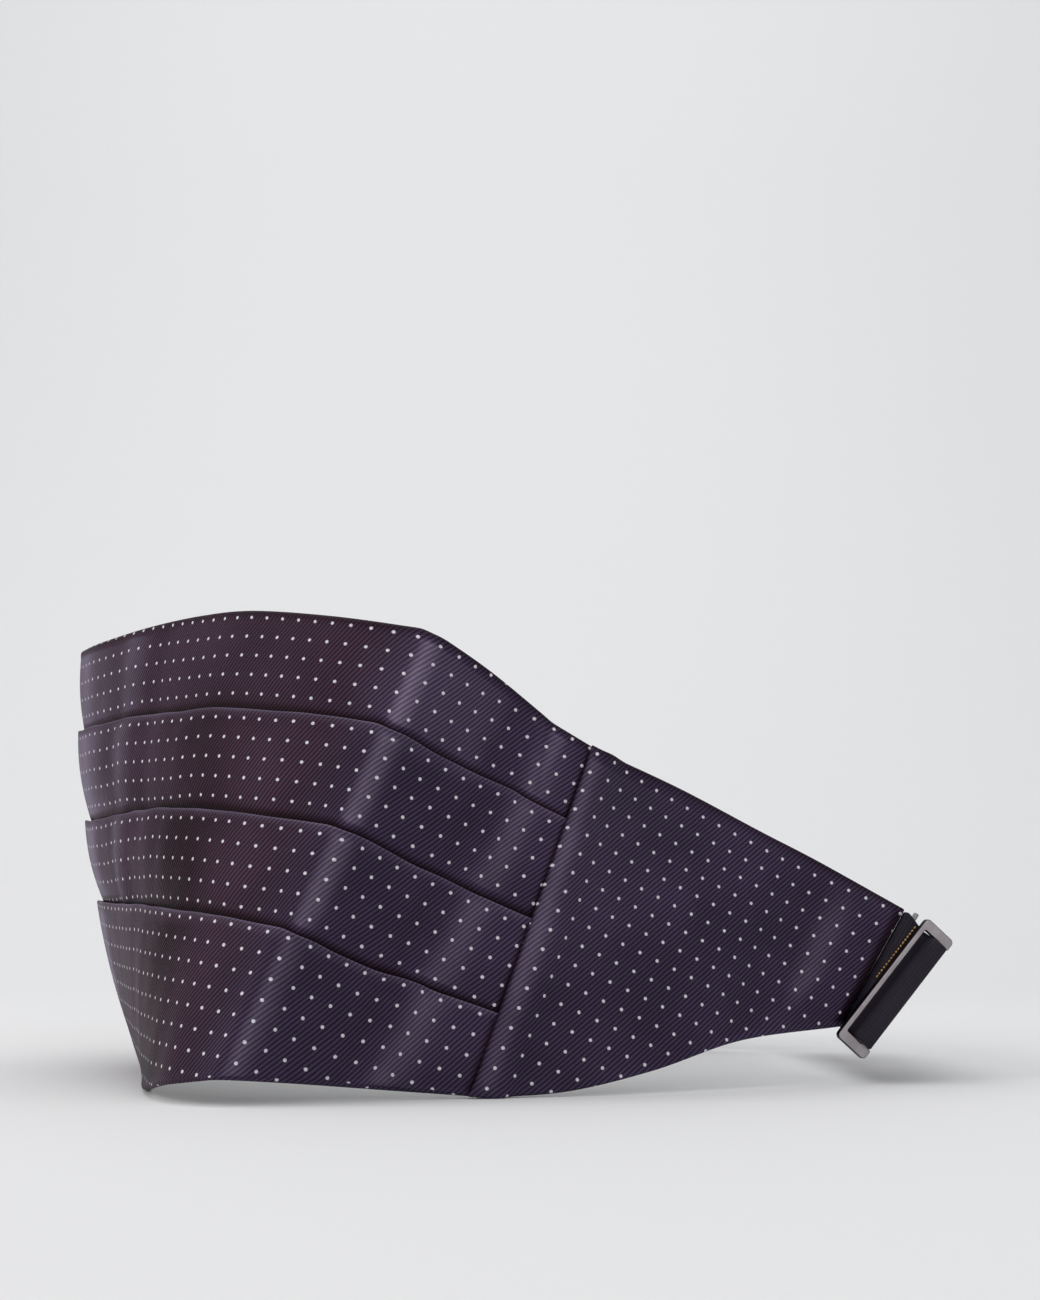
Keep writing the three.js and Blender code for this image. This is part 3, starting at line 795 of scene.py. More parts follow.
@dataclass
class SidePanel:
    """Plain tapering panel whose folded edge laps over the ends of the pleats.

    Attributes:
        ring: The form it follows.
        lap: Width of the lap over the pleats.
        ramp: Length in which the lap comes down to the lining's level.
        lap_wall: Thickness of the lap.
        lap_level: Height of the lap's underside in front of the lining.
        edge_round: Width over which the folded seam edge rounds off.
        crown: How far the padded lap swells.
        gap: Clearance from the front.
        turnover: Width of the outer cloth folded to the inside along both edges.
        dent_place: Where the dent runs, as a share of the panel's length.
        dent_width: Half of its width.
        dent_depth: Its depth.
        streak_place: Where a painted highlight runs behind the dent, as a share of the panel's length.
        end_shade: Width of the painted shade at the panel's end under the strap's seam.
        step: Distance between neighbouring rulings.
        row_place: Where the first dot row lies below the top edge, in pitches.
        column_place: Where the first dot column lies behind the seam, in pitches.
    """

    ring: ClothRing
    lap: float = 5 * MM
    ramp: float = 7 * MM
    lap_wall: float = 1.2 * MM
    lap_level: float = 2.79 * MM
    edge_round: float = 1.8 * MM
    crown: float = 0.7 * MM
    gap: float = 0.3 * MM
    turnover: float = 7 * MM
    dent_place: float = 0.70
    dent_width: float = 9 * MM
    dent_depth: float = 1.6 * MM
    streak_place: float = 0.82
    end_shade: float = 5 * MM
    step: float = 0.95 * MM
    row_place: float = 0.45
    column_place: float = 0.35

    def build(self, side: Side) -> bpy.types.Object:
        """Builds one panel.

        Args:
            side: The half of the ring that it is on.

        Returns:
            The new object.
        """
        ring = self.ring
        start = ring.place_beside(SEAM, -self.lap)
        places = ring.places(start, END, self.step)
        closer = [ring.place_beside(start, distance * MM) for distance in (0.06, 0.16, 0.3, 0.5, 0.75)]
        places = np.unique(np.concatenate([places, closer]))
        walls = ring.walls(places, False, 0.0)
        soft = ring.walls(places, False, 0.5 * MM)
        walls.outward = soft.outward
        run = walls.run
        seam = np.interp(SEAM, places, run)
        drop = fade(run, seam + self.gap, seam + self.ramp)
        inner = self.lap_level * (1 - drop)
        wall = self.lap_wall + (ring.side_wall - self.lap_wall) * drop
        ends = np.minimum(run / self.edge_round, (run[-1] - run) / (wall / 2))
        closing = np.sqrt(np.clip(1 - (1 - np.clip(ends, 0.02, 1)) ** 2, 0, 1))
        crown = self.crown * np.sin(math.pi * np.clip(run / (self.lap + self.ramp), 0, 1))
        section = self.section(walls, inner, wall * closing + crown, 1 - drop)
        grid = np.stack([walls.point(d, o) for d, o in zip(section.down, section.out)], axis=1)
        uv = self.weave_map(walls, section)
        if side is Side.FAR:
            grid = grid * MIRROR
            uv[..., 0] *= -1
        name = "side_cloth_right" if side is Side.NEAR else "side_cloth_left"
        layers = [layer.value for layer in section.layer]
        return closed_mesh(name, grid, uv, layers, np.array(section.tone).T)

    def section(self, walls: Walls, inner: np.ndarray, wall: np.ndarray, lap: np.ndarray) -> Section:
        """Cross-section of the plain wall.

        Args:
            walls: The walls at all places.
            inner: Height of the wall's inside in front of the lining.
            wall: Its thickness.
            lap: How far each place belongs to the raised lap, from 0 to 1.

        Returns:
            The columns, from the middle of the inside over the top edge and down to the lower one.
        """
        section = Section()
        length, run = walls.length, walls.run
        middle, half = inner + wall / 2, wall / 2
        zero = np.zeros_like(length)
        # Painted light near the panel's ends: a painted highlight on the lap's rounded edge, painted shade
        # right at its folded edge, and painted shade at the end under the strap's seam.
        light_and_shade = 0.45 * np.exp(-(((run - 2.4 * MM) / (2.2 * MM)) ** 2)) - 0.8 * (1 - fade(run, 0, 0.7 * MM))
        light_and_shade = light_and_shade - 0.85 * fade(run, run[-1] - self.end_shade, run[-1] - 0.4 * self.end_shade)
        round_off = np.minimum(half, 1.1 * MM)
        for share in (0.5, 0.4, 0.3):
            section.add(length * share, middle - half, 0, Layer.LINING)
        section.add(self.turnover + 0.3 * MM + zero, middle - half, 0, Layer.LINING)
        section.add(self.turnover + zero, middle - half - 0.25 * MM * (1 - lap), 0)
        # The top edge's arcs carry painted shade.
        section.arc((round_off, middle), (round_off, half), (270, 180), 5, 0, (-0.8, -0.8))
        section.anchor(0)
        section.arc((round_off, middle), (round_off, half), (160, 90), 4, 0, (-0.8, -0.5))
        for share in np.linspace(0, 1, 27)[1:-1]:
            down = round_off + (length - 2 * round_off) * share
            crown = math.sin(math.pi * share)
            out = middle + half + ripple(walls, down, 0.3 * MM, 41.9) * crown * (1 - lap)
            # Painted light on the panel: a painted highlight near the seam's upper part and a painted
            # highlight streak behind the dent, painted shade in the dent, and painted shade growing towards
            # the bottom.
            tone = 0.16 * np.exp(-((run / (30 * MM)) ** 2)) * (1 - share)
            tone = tone + 0.42 * np.exp(-(((run / run[-1] - self.streak_place) / 0.04) ** 2)) * crown
            tone = tone - 0.2 * np.exp(-(((run / run[-1] - self.dent_place) / 0.07) ** 2)) * share
            tone = tone - 0.16 * fade(share, 0.55, 1.0)
            section.add(down, out + self.dent(walls, down), 0, tone=light_and_shade + tone)
        # The lower edge's arc carries painted shade towards the edge.
        section.arc((length - round_off, middle), (round_off, half), (90, -90), 9, 0, (0.0, -0.8))
        section.add(length - self.turnover, middle - half - 0.25 * MM * (1 - lap), 0)
        section.add(length - self.turnover - 0.3 * MM, middle - half, 0, Layer.LINING)
        for share in (0.7, 0.6):
            section.add(length * share, middle - half, 0, Layer.LINING)
        return section

    def dent(self, walls: Walls, down: np.ndarray) -> np.ndarray:
        """Soft dent across the panel before its end.

        Args:
            walls: The walls at all places.
            down: Distances below the top edge.

        Returns:
            How far the cloth stands out at each place.
        """
        share = down / walls.length
        across = (walls.run - walls.run[-1] * (self.dent_place + 0.04 * share)) / self.dent_width
        return -self.dent_depth * np.exp(-(across**2)) * fade(share, 0.05, 0.5) * (1 - fade(share, 0.9, 1.0))

    def weave_map(self, walls: Walls, section: Section) -> np.ndarray:
        """Pattern coordinates, in which the dots lie on whole numbers.

        Args:
            walls: The walls at all places.
            section: Their cross-section.

        Returns:
            Coordinates as places by columns by the strip's two edges by two numbers.
        """
        down, out = np.array(section.down), np.array(section.out)
        steps = np.hypot(np.diff(down, axis=0, append=down[:1]), np.diff(out, axis=0, append=out[:1]))
        depth = np.vstack([np.zeros(len(walls.bow)), np.cumsum(steps, axis=0)])
        share = (depth - depth[section.anchors[0]]) / walls.length
        upper, lower = walls.unrolled(self.ring.side_wall)
        flat = upper[None] + (lower - upper)[None] * share[..., None]
        row = unit(upper[-1] - upper[0])
        across = np.array([row[1], -row[0]])
        u = (flat - upper[0]) @ row / DOT_PITCH - self.column_place
        v = (flat - upper[0]) @ across / DOT_PITCH - self.row_place
        uv = np.stack([u, v], axis=-1).transpose(1, 0, 2)
        return np.stack([uv[:, :-1], uv[:, 1:]], axis=2)


@dataclass(frozen=True)
class SlideFrame:
    """Where the slide lies: its middle at the slim bar's edge, and its three directions.

    Attributes:
        ring: The form it hangs on.
        top_offset: Its upper near corner from the cloth's end, in shares of the ring's sizes.
        foot_offset: Its lower near corner from the cloth's end.
        turn: Angle by which it turns towards the back, in degrees.
    """

    ring: ClothRing
    top_offset: Shares = (0.027, -0.012, -0.010)
    foot_offset: Shares = (-0.011, -0.042, -0.022)
    turn: float = 12.0

    @cached_property
    def corners(self) -> tuple[np.ndarray, np.ndarray]:
        """Upper and lower near corner."""
        ring, end = self.ring, self.ring.at(END)
        size = np.array([ring.loop_length, ring.half_depth, ring.panel_height])
        return end[0:3] + np.array(self.top_offset) * size, end[3:6] + np.array(self.foot_offset) * size

    @cached_property
    def axes(self) -> np.ndarray:
        """Directions across its width, along its length and out of its face, as rows."""
        top, foot = self.corners
        along = unit(top - foot)
        turn = math.radians(self.turn)
        across = unit(np.array([along[2], 0, -along[0]])) * math.cos(turn)
        across[1] += math.sin(turn)
        across = unit(across - along * (across @ along))
        return np.array([across, along, np.cross(across, along)])

    def point(self, across: float, out: float, along: float = 0.0) -> np.ndarray:
        """A point in the row frame.

        Args:
            across: Distance from the slim bar's outer edge.
            out: Distance in front of the slide's middle plane.
            along: Distance from the slide's middle along its length.

        Returns:
            The point.
        """
        return sum(self.corners) / 2 + np.array([across, along, out]) @ self.axes

    @property
    def matrix(self) -> Matrix:
        """Placing of a shape that is drawn across, along and out."""
        columns = np.column_stack([*self.axes, sum(self.corners) / 2])
        return Matrix(np.vstack([columns, [0, 0, 0, 1]]).tolist())


Outline = list[tuple[float, float]]


def rounded_outline(corners: Sequence[tuple[float, float, float]], steps: int = 7) -> Outline:
    """Outline with rounded corners.

    Args:
        corners: Corner points in order, each with its radius.
        steps: Points on each rounding.

    Returns:
        The outline's points.
    """
    outline: Outline = []
    for index, (x, y, radius) in enumerate(corners):
        here = np.array([x, y])
        before = unit(np.array(corners[index - 1][:2]) - here)
        after = unit(np.array(corners[(index + 1) % len(corners)][:2]) - here)
        half = math.acos(float(np.clip(before @ after, -1, 1))) / 2
        if radius <= 0:
            outline.append((x, y))
            continue
        reach = radius / math.tan(half)
        centre = here + unit(before + after) * radius / math.sin(half)
        start, end = here + before * reach - centre, here + after * reach - centre
        for share in np.linspace(0, 1, steps):
            spoke = unit(start * (1 - share) + end * share) * radius
            outline.append(tuple(centre + spoke))
    return outline


def plate(
    name: str,
    outlines: Sequence[Outline],
    thickness: float,
    edge: float,
    matrix: Matrix,
) -> bpy.types.Object:
    """Builds a flat metal part with rounded edges from its outline and holes.

    Args:
        name: The new object's name.
        outlines: The outer outline, then one for each hole.
        thickness: Its thickness.
        edge: Radius of its edges.
        matrix: Where it lies.

    Returns:
        The new object, with its place in its mesh.
    """
    curve = bpy.data.curves.new(name, "CURVE")
    curve.dimensions = "2D"
    curve.fill_mode = "BOTH"
    curve.extrude = thickness / 2 - edge
    curve.bevel_depth = edge
    curve.bevel_resolution = 3
    curve.offset = -edge
    for outline in outlines:
        spline = curve.splines.new("POLY")
        spline.points.add(len(outline) - 1)
        for point, (x, y) in zip(spline.points, outline):
            point.co = (x, y, 0, 1)
        spline.use_cyclic_u = True
    source = bpy.data.objects.new(name, curve)
    bpy.context.scene.collection.objects.link(source)
    bpy.context.view_layer.update()
    mesh = bpy.data.meshes.new_from_object(source.evaluated_get(bpy.context.evaluated_depsgraph_get()))
    bpy.data.objects.remove(source)
    bpy.data.curves.remove(curve)
    merge_doubles(mesh)
    uv = mesh.uv_layers.new(name=PATTERN_MAP) if not mesh.uv_layers else mesh.uv_layers[0]
    uv.name = PATTERN_MAP
    for loop in mesh.loops:
        place = mesh.vertices[loop.vertex_index].co
        uv.data[loop.index].uv = (place.x / MM, place.y / MM)
    # Tone marks the edges, sides and back for painted shade: 0 on the upper face, -1 elsewhere.
    tones = mesh.attributes.new(PAINTED_LIGHT_TONE, "FLOAT", "POINT")
    for vertex in mesh.vertices:
        tones.data[vertex.index].value = 0.0 if vertex.co.z > thickness / 2 - 0.12 * edge else -1.0
    mesh.transform(matrix)
    mesh.name = name
    for polygon in mesh.polygons:
        polygon.use_smooth = len(polygon.vertices) == 4
    obj = bpy.data.objects.new(name, mesh)
    bpy.context.scene.collection.objects.link(obj)
    return obj


def merge_doubles(mesh: bpy.types.Mesh) -> None:
    """Joins points that lie on each other and turns the faces outwards.

    Args:
        mesh: The mesh to mend.
    """
    work = bmesh.new()
    work.from_mesh(mesh)
    bmesh.ops.remove_doubles(work, verts=work.verts, dist=0.004 * MM)
    bmesh.ops.recalc_face_normals(work, faces=work.faces)
    work.to_mesh(mesh)
    work.free()


def rounded_run(stations: list[np.ndarray], rounds: int = 3) -> np.ndarray:
    """Cuts the corners off a line until it is smooth, with its ends kept.

    Args:
        stations: The line's stations, one array of numbers each.
        rounds: How often the corners are cut.

    Returns:
        The smooth line's stations as rows.
    """
    line = np.array(stations)
    for _ in range(rounds):
        quarter = line[:-1] * 0.75 + line[1:] * 0.25
        three = line[:-1] * 0.25 + line[1:] * 0.75
        cut = np.stack([quarter, three], axis=1).reshape(-1, line.shape[1])
        line = np.vstack([line[:1], cut, line[-1:]])
    return line


@dataclass
class Strap:
    """Flat woven strap from a side panel to the clasp at the middle of the back.

    Attributes:
        slide: The slide that the near one runs through.
        width: Its width.
        thickness: Its thickness.
        gap: Clearance between neighbouring pieces.
        seam_gap: Clearance from the cloth's end that it is sewn to.
        slide_thickness: Thickness of the slide.
        slide_width: Width of the slide along the strap's run.
        front_bar: Width of the slide's slim bar.
        back_bar: Width of the bar that the strap passes over.
        recess: How far that bar is set in.
        clasp_width: Width of the clasp along the strap's run.
        back_rise: How much higher the strap runs at the clasp.
    """

    slide: SlideFrame
    width: float = 36.9 * MM
    thickness: float = 1.3 * MM
    gap: float = 0.3 * MM
    seam_gap: float = 0.03 * MM
    slide_thickness: float = 2 * MM
    slide_width: float = 10.8 * MM
    front_bar: float = 1.7 * MM
    back_bar: float = 1.6 * MM
    recess: float = 2.0 * MM
    clasp_width: float = 24 * MM
    back_rise: float = 5 * MM

    def start(self) -> tuple[np.ndarray, np.ndarray, np.ndarray]:
        """Where it leaves the cloth.

        Returns:
            Its middle point, and the directions of its width and its run.
        """
        ring = self.slide.ring
        end, before = ring.at(END), ring.at(END - 0.02)
        run = unit((end[0:2] + end[3:5]) - (before[0:2] + before[3:5]))
        outward = np.array([run[1], -run[0], 0])
        level = np.array([run[0], run[1], 0])
        middle = (end[0:3] + end[3:6]) / 2 + outward * ring.side_wall / 2 + level * self.seam_gap
        return middle, unit(end[0:3] - end[3:6]), level

    def threading(self) -> list[tuple[float, float]]:
        """Middle line through the slide, as distances across it and out of it."""
        room = self.gap + self.thickness / 2
        clear = self.slide_thickness / 2 + room
        bar_edge = self.slide_width - self.recess
        first = self.front_bar + room
        last = bar_edge - self.back_bar - room
        return [
            (self.front_bar, -clear),
            (first + (last - first) * 0.3, -clear / 2),
            (first + (last - first) * 0.7, clear / 2),
            (last, clear),
            (bar_edge, clear),
            (bar_edge + room * 0.8, clear - room * 0.3),
            (bar_edge + room * 1.05, 0.0),
        ]

    def centre(self) -> tuple[np.ndarray, np.ndarray]:
        """Where it meets the clasp.

        Returns:
            Its middle point and the direction of its width there.
        """
        last = self.slide.point(*self.threading()[-1])
        along = unit(self.slide.axes[1] * np.array([1, 0, 1]))
        return np.array([last[0], -self.clasp_width / 2 - self.gap, last[2] + self.back_rise]), along

    def build(self, side: Side) -> bpy.types.Object:
        """Builds one strap.

        Args:
            side: The half of the ring that it is on.

        Returns:
            The new object.
        """
        middle, along, run = self.start()
        end, end_along = self.centre()
        stations = [np.concatenate([middle, along])]
        if side is Side.NEAR:
            stations.append(np.concatenate([middle + run * 1.5 * MM, along]))
            stations += [
                np.concatenate([self.slide.point(*spot), self.slide.axes[1]]) for spot in self.threading()
            ]
        else:
            stations.append(np.concatenate([middle + run * self.slide_width / 2, along]))
        last = stations[-1]
        for share in (0.1, 0.5, 1.0):
            stations.append(last * (1 - share) + np.concatenate([end, end_along]) * share)
        line = rounded_run(stations)
        centres, widths = line[:, :3], unit(line[:, 3:])
        faces = unit(np.cross(unit(np.gradient(centres, axis=0)), widths))
        length = np.concatenate([[0], np.cumsum(np.linalg.norm(np.diff(centres, axis=0), axis=1))])
        ring = self.cross_section()
        grid = np.stack([centres + widths * across + faces * out for across, out in ring], axis=1)
        across = np.array([spot[0] for spot in ring] + [ring[0][0]]) / MM
        u = np.repeat(length[:, None] / MM, len(ring) + 1, axis=1)
        uv = np.stack([u, np.repeat(across[None], len(length), axis=0)], axis=-1)
        if side is Side.FAR:
            grid = grid * MIRROR
        name = "strap_webbing_right" if side is Side.NEAR else "strap_webbing_left"
        return closed_mesh(name, grid, np.stack([uv[:, :-1], uv[:, 1:]], axis=2))

    def cross_section(self) -> list[tuple[float, float]]:
        """Outline of the webbing, flat with full rounded edges and a slightly raised border.

        Returns:
            Distances across and out, in order round the outline.
        """
        half, thick = self.width / 2, self.thickness / 2
        flats = np.linspace(-1, 1, 15)[1:-1] * (half - thick)
        upper = [(x, thick * (0.86 if abs(x) < half - 3 * MM else 1.0)) for x in flats]
        turns = np.radians([60, 20, -20, -60])
        right = [(half - thick + thick * math.cos(a), thick * math.sin(a)) for a in turns]
        lower = [(x, -y) for x, y in reversed(upper)]
        left = [(-x, -y) for x, y in right]
        return [*upper, *right, *lower, *left]


@dataclass
class Hardware:
    """Metal parts on the strap: the slide, the slim bar beside it and the flat clasp.

    Attributes:
        strap: The strap that they are on.
        slide_length: Length of the slide along the strap's width.
        end_bar: Width of its two end bars.
        corner: Radius of the slide's corners.
        slot_corner: Radius of the corners of its slot and of its recess.
        shoulder: How far the recess narrows towards the back bar.
        slide_edge: Radius of its edges.
        pin_diameter: Thickness of the slim bar that the strap is sewn round.
        pin_length: Length of the slim bar.
        pin_place: Its place between the cloth and the slide, as a share.
        pin_sewn: Length of it that the strap's woven width covers.
        clasp_length: Length of the clasp along the strap's width.
        clasp_thickness: Thickness of the clasp.
        clasp_corner: Radius of the clasp's corners.
        clasp_edge: Radius of its edges.
    """

    strap: Strap
    slide_length: float = 43.5 * MM
    end_bar: float = 3.2 * MM
    corner: float = 1.4 * MM
    slot_corner: float = 0.4 * MM
    shoulder: float = 0.5 * MM
    slide_edge: float = 0.42 * MM
    pin_diameter: float = 1.6 * MM
    pin_length: float = 38.8 * MM
    pin_place: float = 0.5
    pin_sewn: float = 35 * MM
    clasp_length: float = 33 * MM
    clasp_thickness: float = 4 * MM
    clasp_corner: float = 3 * MM
    clasp_edge: float = 0.9 * MM

    def slide(self) -> bpy.types.Object:
        """Builds the rectangular slide, whose back bar is set in between its ends.

        Returns:
            The new object.
        """
        strap = self.strap
        half = self.slide_length / 2
        slot = half - self.end_bar
        far, set_in = strap.slide_width, strap.slide_width - strap.recess
        small, shoulder = self.slot_corner, slot - self.shoulder
        outer = rounded_outline([
            (0, -half, self.corner),
            (far, -half, self.corner),
            (far, -slot, small),
            (set_in, -shoulder, small),
            (set_in, shoulder, small),
            (far, slot, small),
            (far, half, self.corner),
            (0, half, self.corner),
        ])
        left, right = strap.front_bar, set_in - strap.back_bar
        hole = rounded_outline([
            (left, -slot, small),
            (right, -slot, small),
            (right, slot, small),
            (left, slot, small),
        ])
        return plate("slide_frame", [outer, hole], strap.slide_thickness, self.slide_edge, strap.slide.matrix)

    def pin(self) -> bpy.types.Object:
        """Builds the slim bar inside the ring, with rounded ends.

        Returns:
            The new object.
        """
        strap = self.strap
        middle, along, _ = strap.start()
        following = strap.slide.point(*strap.threading()[0])
        axis = unit(along * (1 - self.pin_place) + strap.slide.axes[1] * self.pin_place)
        run = following - middle
        out = unit(np.cross(run, axis))
        across = np.cross(axis, out)
        radius = self.pin_diameter / 2
        centre = middle + run * self.pin_place + axis * (self.pin_length - self.pin_sewn) / 2
        centre = centre - out * (strap.thickness / 2 + 2 * strap.gap + radius)
        half = self.pin_length / 2
        rings = []
        for place, size in ((0, 0.02), (0.02, 0.35), (0.1, 0.7), (0.25, 0.93), (0.5, 1.0)):
            rings.append((place * MM - half, size * radius))
        rings += [(half * share, radius) for share in (-0.5, 0, 0.5)]
        rings += [(-place, size) for place, size in reversed(rings[:5])]
        angles = np.radians(np.arange(0, 360, 15))
        grid = np.array([
            [centre + axis * place + size * (across * math.cos(a) + out * math.sin(a)) for a in angles]
            for place, size in rings
        ])
        return closed_mesh("pin_bar", grid)

    def clasp(self) -> bpy.types.Object:
        """Builds the flat plate that closes the ring at the back.

        Returns:
            The new object.
        """
        middle, along = self.strap.centre()
        across = np.array([0.0, 1.0, 0.0])
        out = np.cross(across, along)
        wide, tall = self.strap.clasp_width / 2, self.clasp_length / 2
        outline = rounded_outline([
            (-wide, -tall, self.clasp_corner),
            (wide, -tall, self.clasp_corner),
            (wide, tall, self.clasp_corner),
            (-wide, tall, self.clasp_corner),
        ])
        columns = np.column_stack([across, along, out, [middle[0], 0, middle[2]]])
        matrix = Matrix(np.vstack([columns, [0, 0, 0, 1]]).tolist())
        return plate("clasp_plate", [outline], self.clasp_thickness, self.clasp_edge, matrix)


@dataclass
class StitchRow:
    """Row of thread stitches along a line, made with Geometry Nodes.

    Attributes:
        name: Name of the piece.
        pitch: Distance from stitch to stitch.
        length: Length of one stitch.
        radius: Half of the thread's thickness.
        seed: Fixed number for the slight differences between stitches.
    """

    name: str
    pitch: float = 1.1 * MM
    length: float = 1.0 * MM
    radius: float = 0.30 * MM
    seed: int = 7

    def tree(self) -> bpy.types.NodeTree:
        """Builds the node tree that sets a thread stitch at even steps along a line.

        Returns:
            The tree, with its sizes as named inputs.
        """
        tree = bpy.data.node_groups.new("stitch_row", "GeometryNodeTree")
        tree.interface.new_socket("Geometry", in_out="INPUT", socket_type="NodeSocketGeometry")
        for name in ("Pitch", "Stitch length", "Thread radius"):
            tree.interface.new_socket(name, in_out="INPUT", socket_type="NodeSocketFloat")
        tree.interface.new_socket("Seed", in_out="INPUT", socket_type="NodeSocketInt")
        tree.interface.new_socket("Thread", in_out="INPUT", socket_type="NodeSocketMaterial")
        tree.interface.new_socket("Geometry", in_out="OUTPUT", socket_type="NodeSocketGeometry")
        add = tree.nodes.new
        link = tree.links.new
        given, result = add("NodeGroupInput"), add("NodeGroupOutput")
        line = add("GeometryNodeMeshToCurve")
        spots = add("GeometryNodeCurveToPoints")
        spots.mode = "LENGTH"
        ball = add("GeometryNodeMeshUVSphere")
        ball.inputs["Segments"].default_value = 8
        ball.inputs["Rings"].default_value = 6
        ball.inputs["Radius"].default_value = 1.0
        size = add("ShaderNodeCombineXYZ")
        half = add("ShaderNodeMath")
        half.operation = "MULTIPLY"
        half.inputs[1].default_value = 0.5
        placed = add("GeometryNodeInstanceOnPoints")
        uneven = add("FunctionNodeRandomValue")
        uneven.data_type = "FLOAT_VECTOR"
        uneven.inputs["Min"].default_value = (0.86, 0.86, 0.8)
        uneven.inputs["Max"].default_value = (1.12, 1.12, 1.06)
        scaled = add("ShaderNodeVectorMath")
        scaled.operation = "MULTIPLY"
        real = add("GeometryNodeRealizeInstances")
        smooth = add("GeometryNodeSetShadeSmooth")
        finish = add("GeometryNodeSetMaterial")
        link(given.outputs["Geometry"], line.inputs["Mesh"])
        link(line.outputs["Curve"], spots.inputs["Curve"])
        link(given.outputs["Pitch"], spots.inputs["Length"])
        link(given.outputs["Stitch length"], half.inputs[0])
        link(given.outputs["Thread radius"], size.inputs["X"])
        link(given.outputs["Thread radius"], size.inputs["Y"])
        link(half.outputs[0], size.inputs["Z"])
        link(given.outputs["Seed"], uneven.inputs["Seed"])
        link(size.outputs[0], scaled.inputs[0])
        link(uneven.outputs["Value"], scaled.inputs[1])
        link(spots.outputs["Points"], placed.inputs["Points"])
        link(spots.outputs["Rotation"], placed.inputs["Rotation"])
        link(ball.outputs["Mesh"], placed.inputs["Instance"])
        link(scaled.outputs[0], placed.inputs["Scale"])
        link(placed.outputs["Instances"], real.inputs["Geometry"])
        link(real.outputs["Geometry"], smooth.inputs["Geometry"])
        link(smooth.outputs["Geometry"], finish.inputs["Geometry"])
        link(given.outputs["Thread"], finish.inputs["Material"])
        link(finish.outputs["Geometry"], result.inputs["Geometry"])
        return tree

    def build(self, line: np.ndarray, thread: bpy.types.Material) -> bpy.types.Object:
        """Sews the stitches.

        Args:
            line: Line that they follow, as points in rows.
            thread: The thread's material.

        Returns:
            The stitches as one plain mesh.
        """
        points = [tuple(p) for p in line]
        edges = [(n, n + 1) for n in range(len(line) - 1)]
        guide = bpy.data.meshes.new(self.name + "_guide")
        guide.from_pydata(points, edges, [])
        obj = bpy.data.objects.new(self.name, guide)
        bpy.context.scene.collection.objects.link(obj)
        modifier = obj.modifiers.new("Stitches", "NODES")
        modifier.node_group = self.tree()
        sizes = {
            "Pitch": self.pitch,
            "Stitch length": self.length,
            "Thread radius": self.radius,
            "Seed": self.seed,
            "Thread": thread,
        }
        for item in modifier.node_group.interface.items_tree:
            if item.in_out == "INPUT" and item.name in sizes:
                modifier[item.identifier] = sizes[item.name]
        bpy.context.view_layer.update()
        evaluated = obj.evaluated_get(bpy.context.evaluated_depsgraph_get())
        mesh = bpy.data.meshes.new_from_object(evaluated)
        obj.modifiers.clear()
        obj.data = mesh
        mesh.name = self.name
        bpy.data.meshes.remove(guide)
        return obj


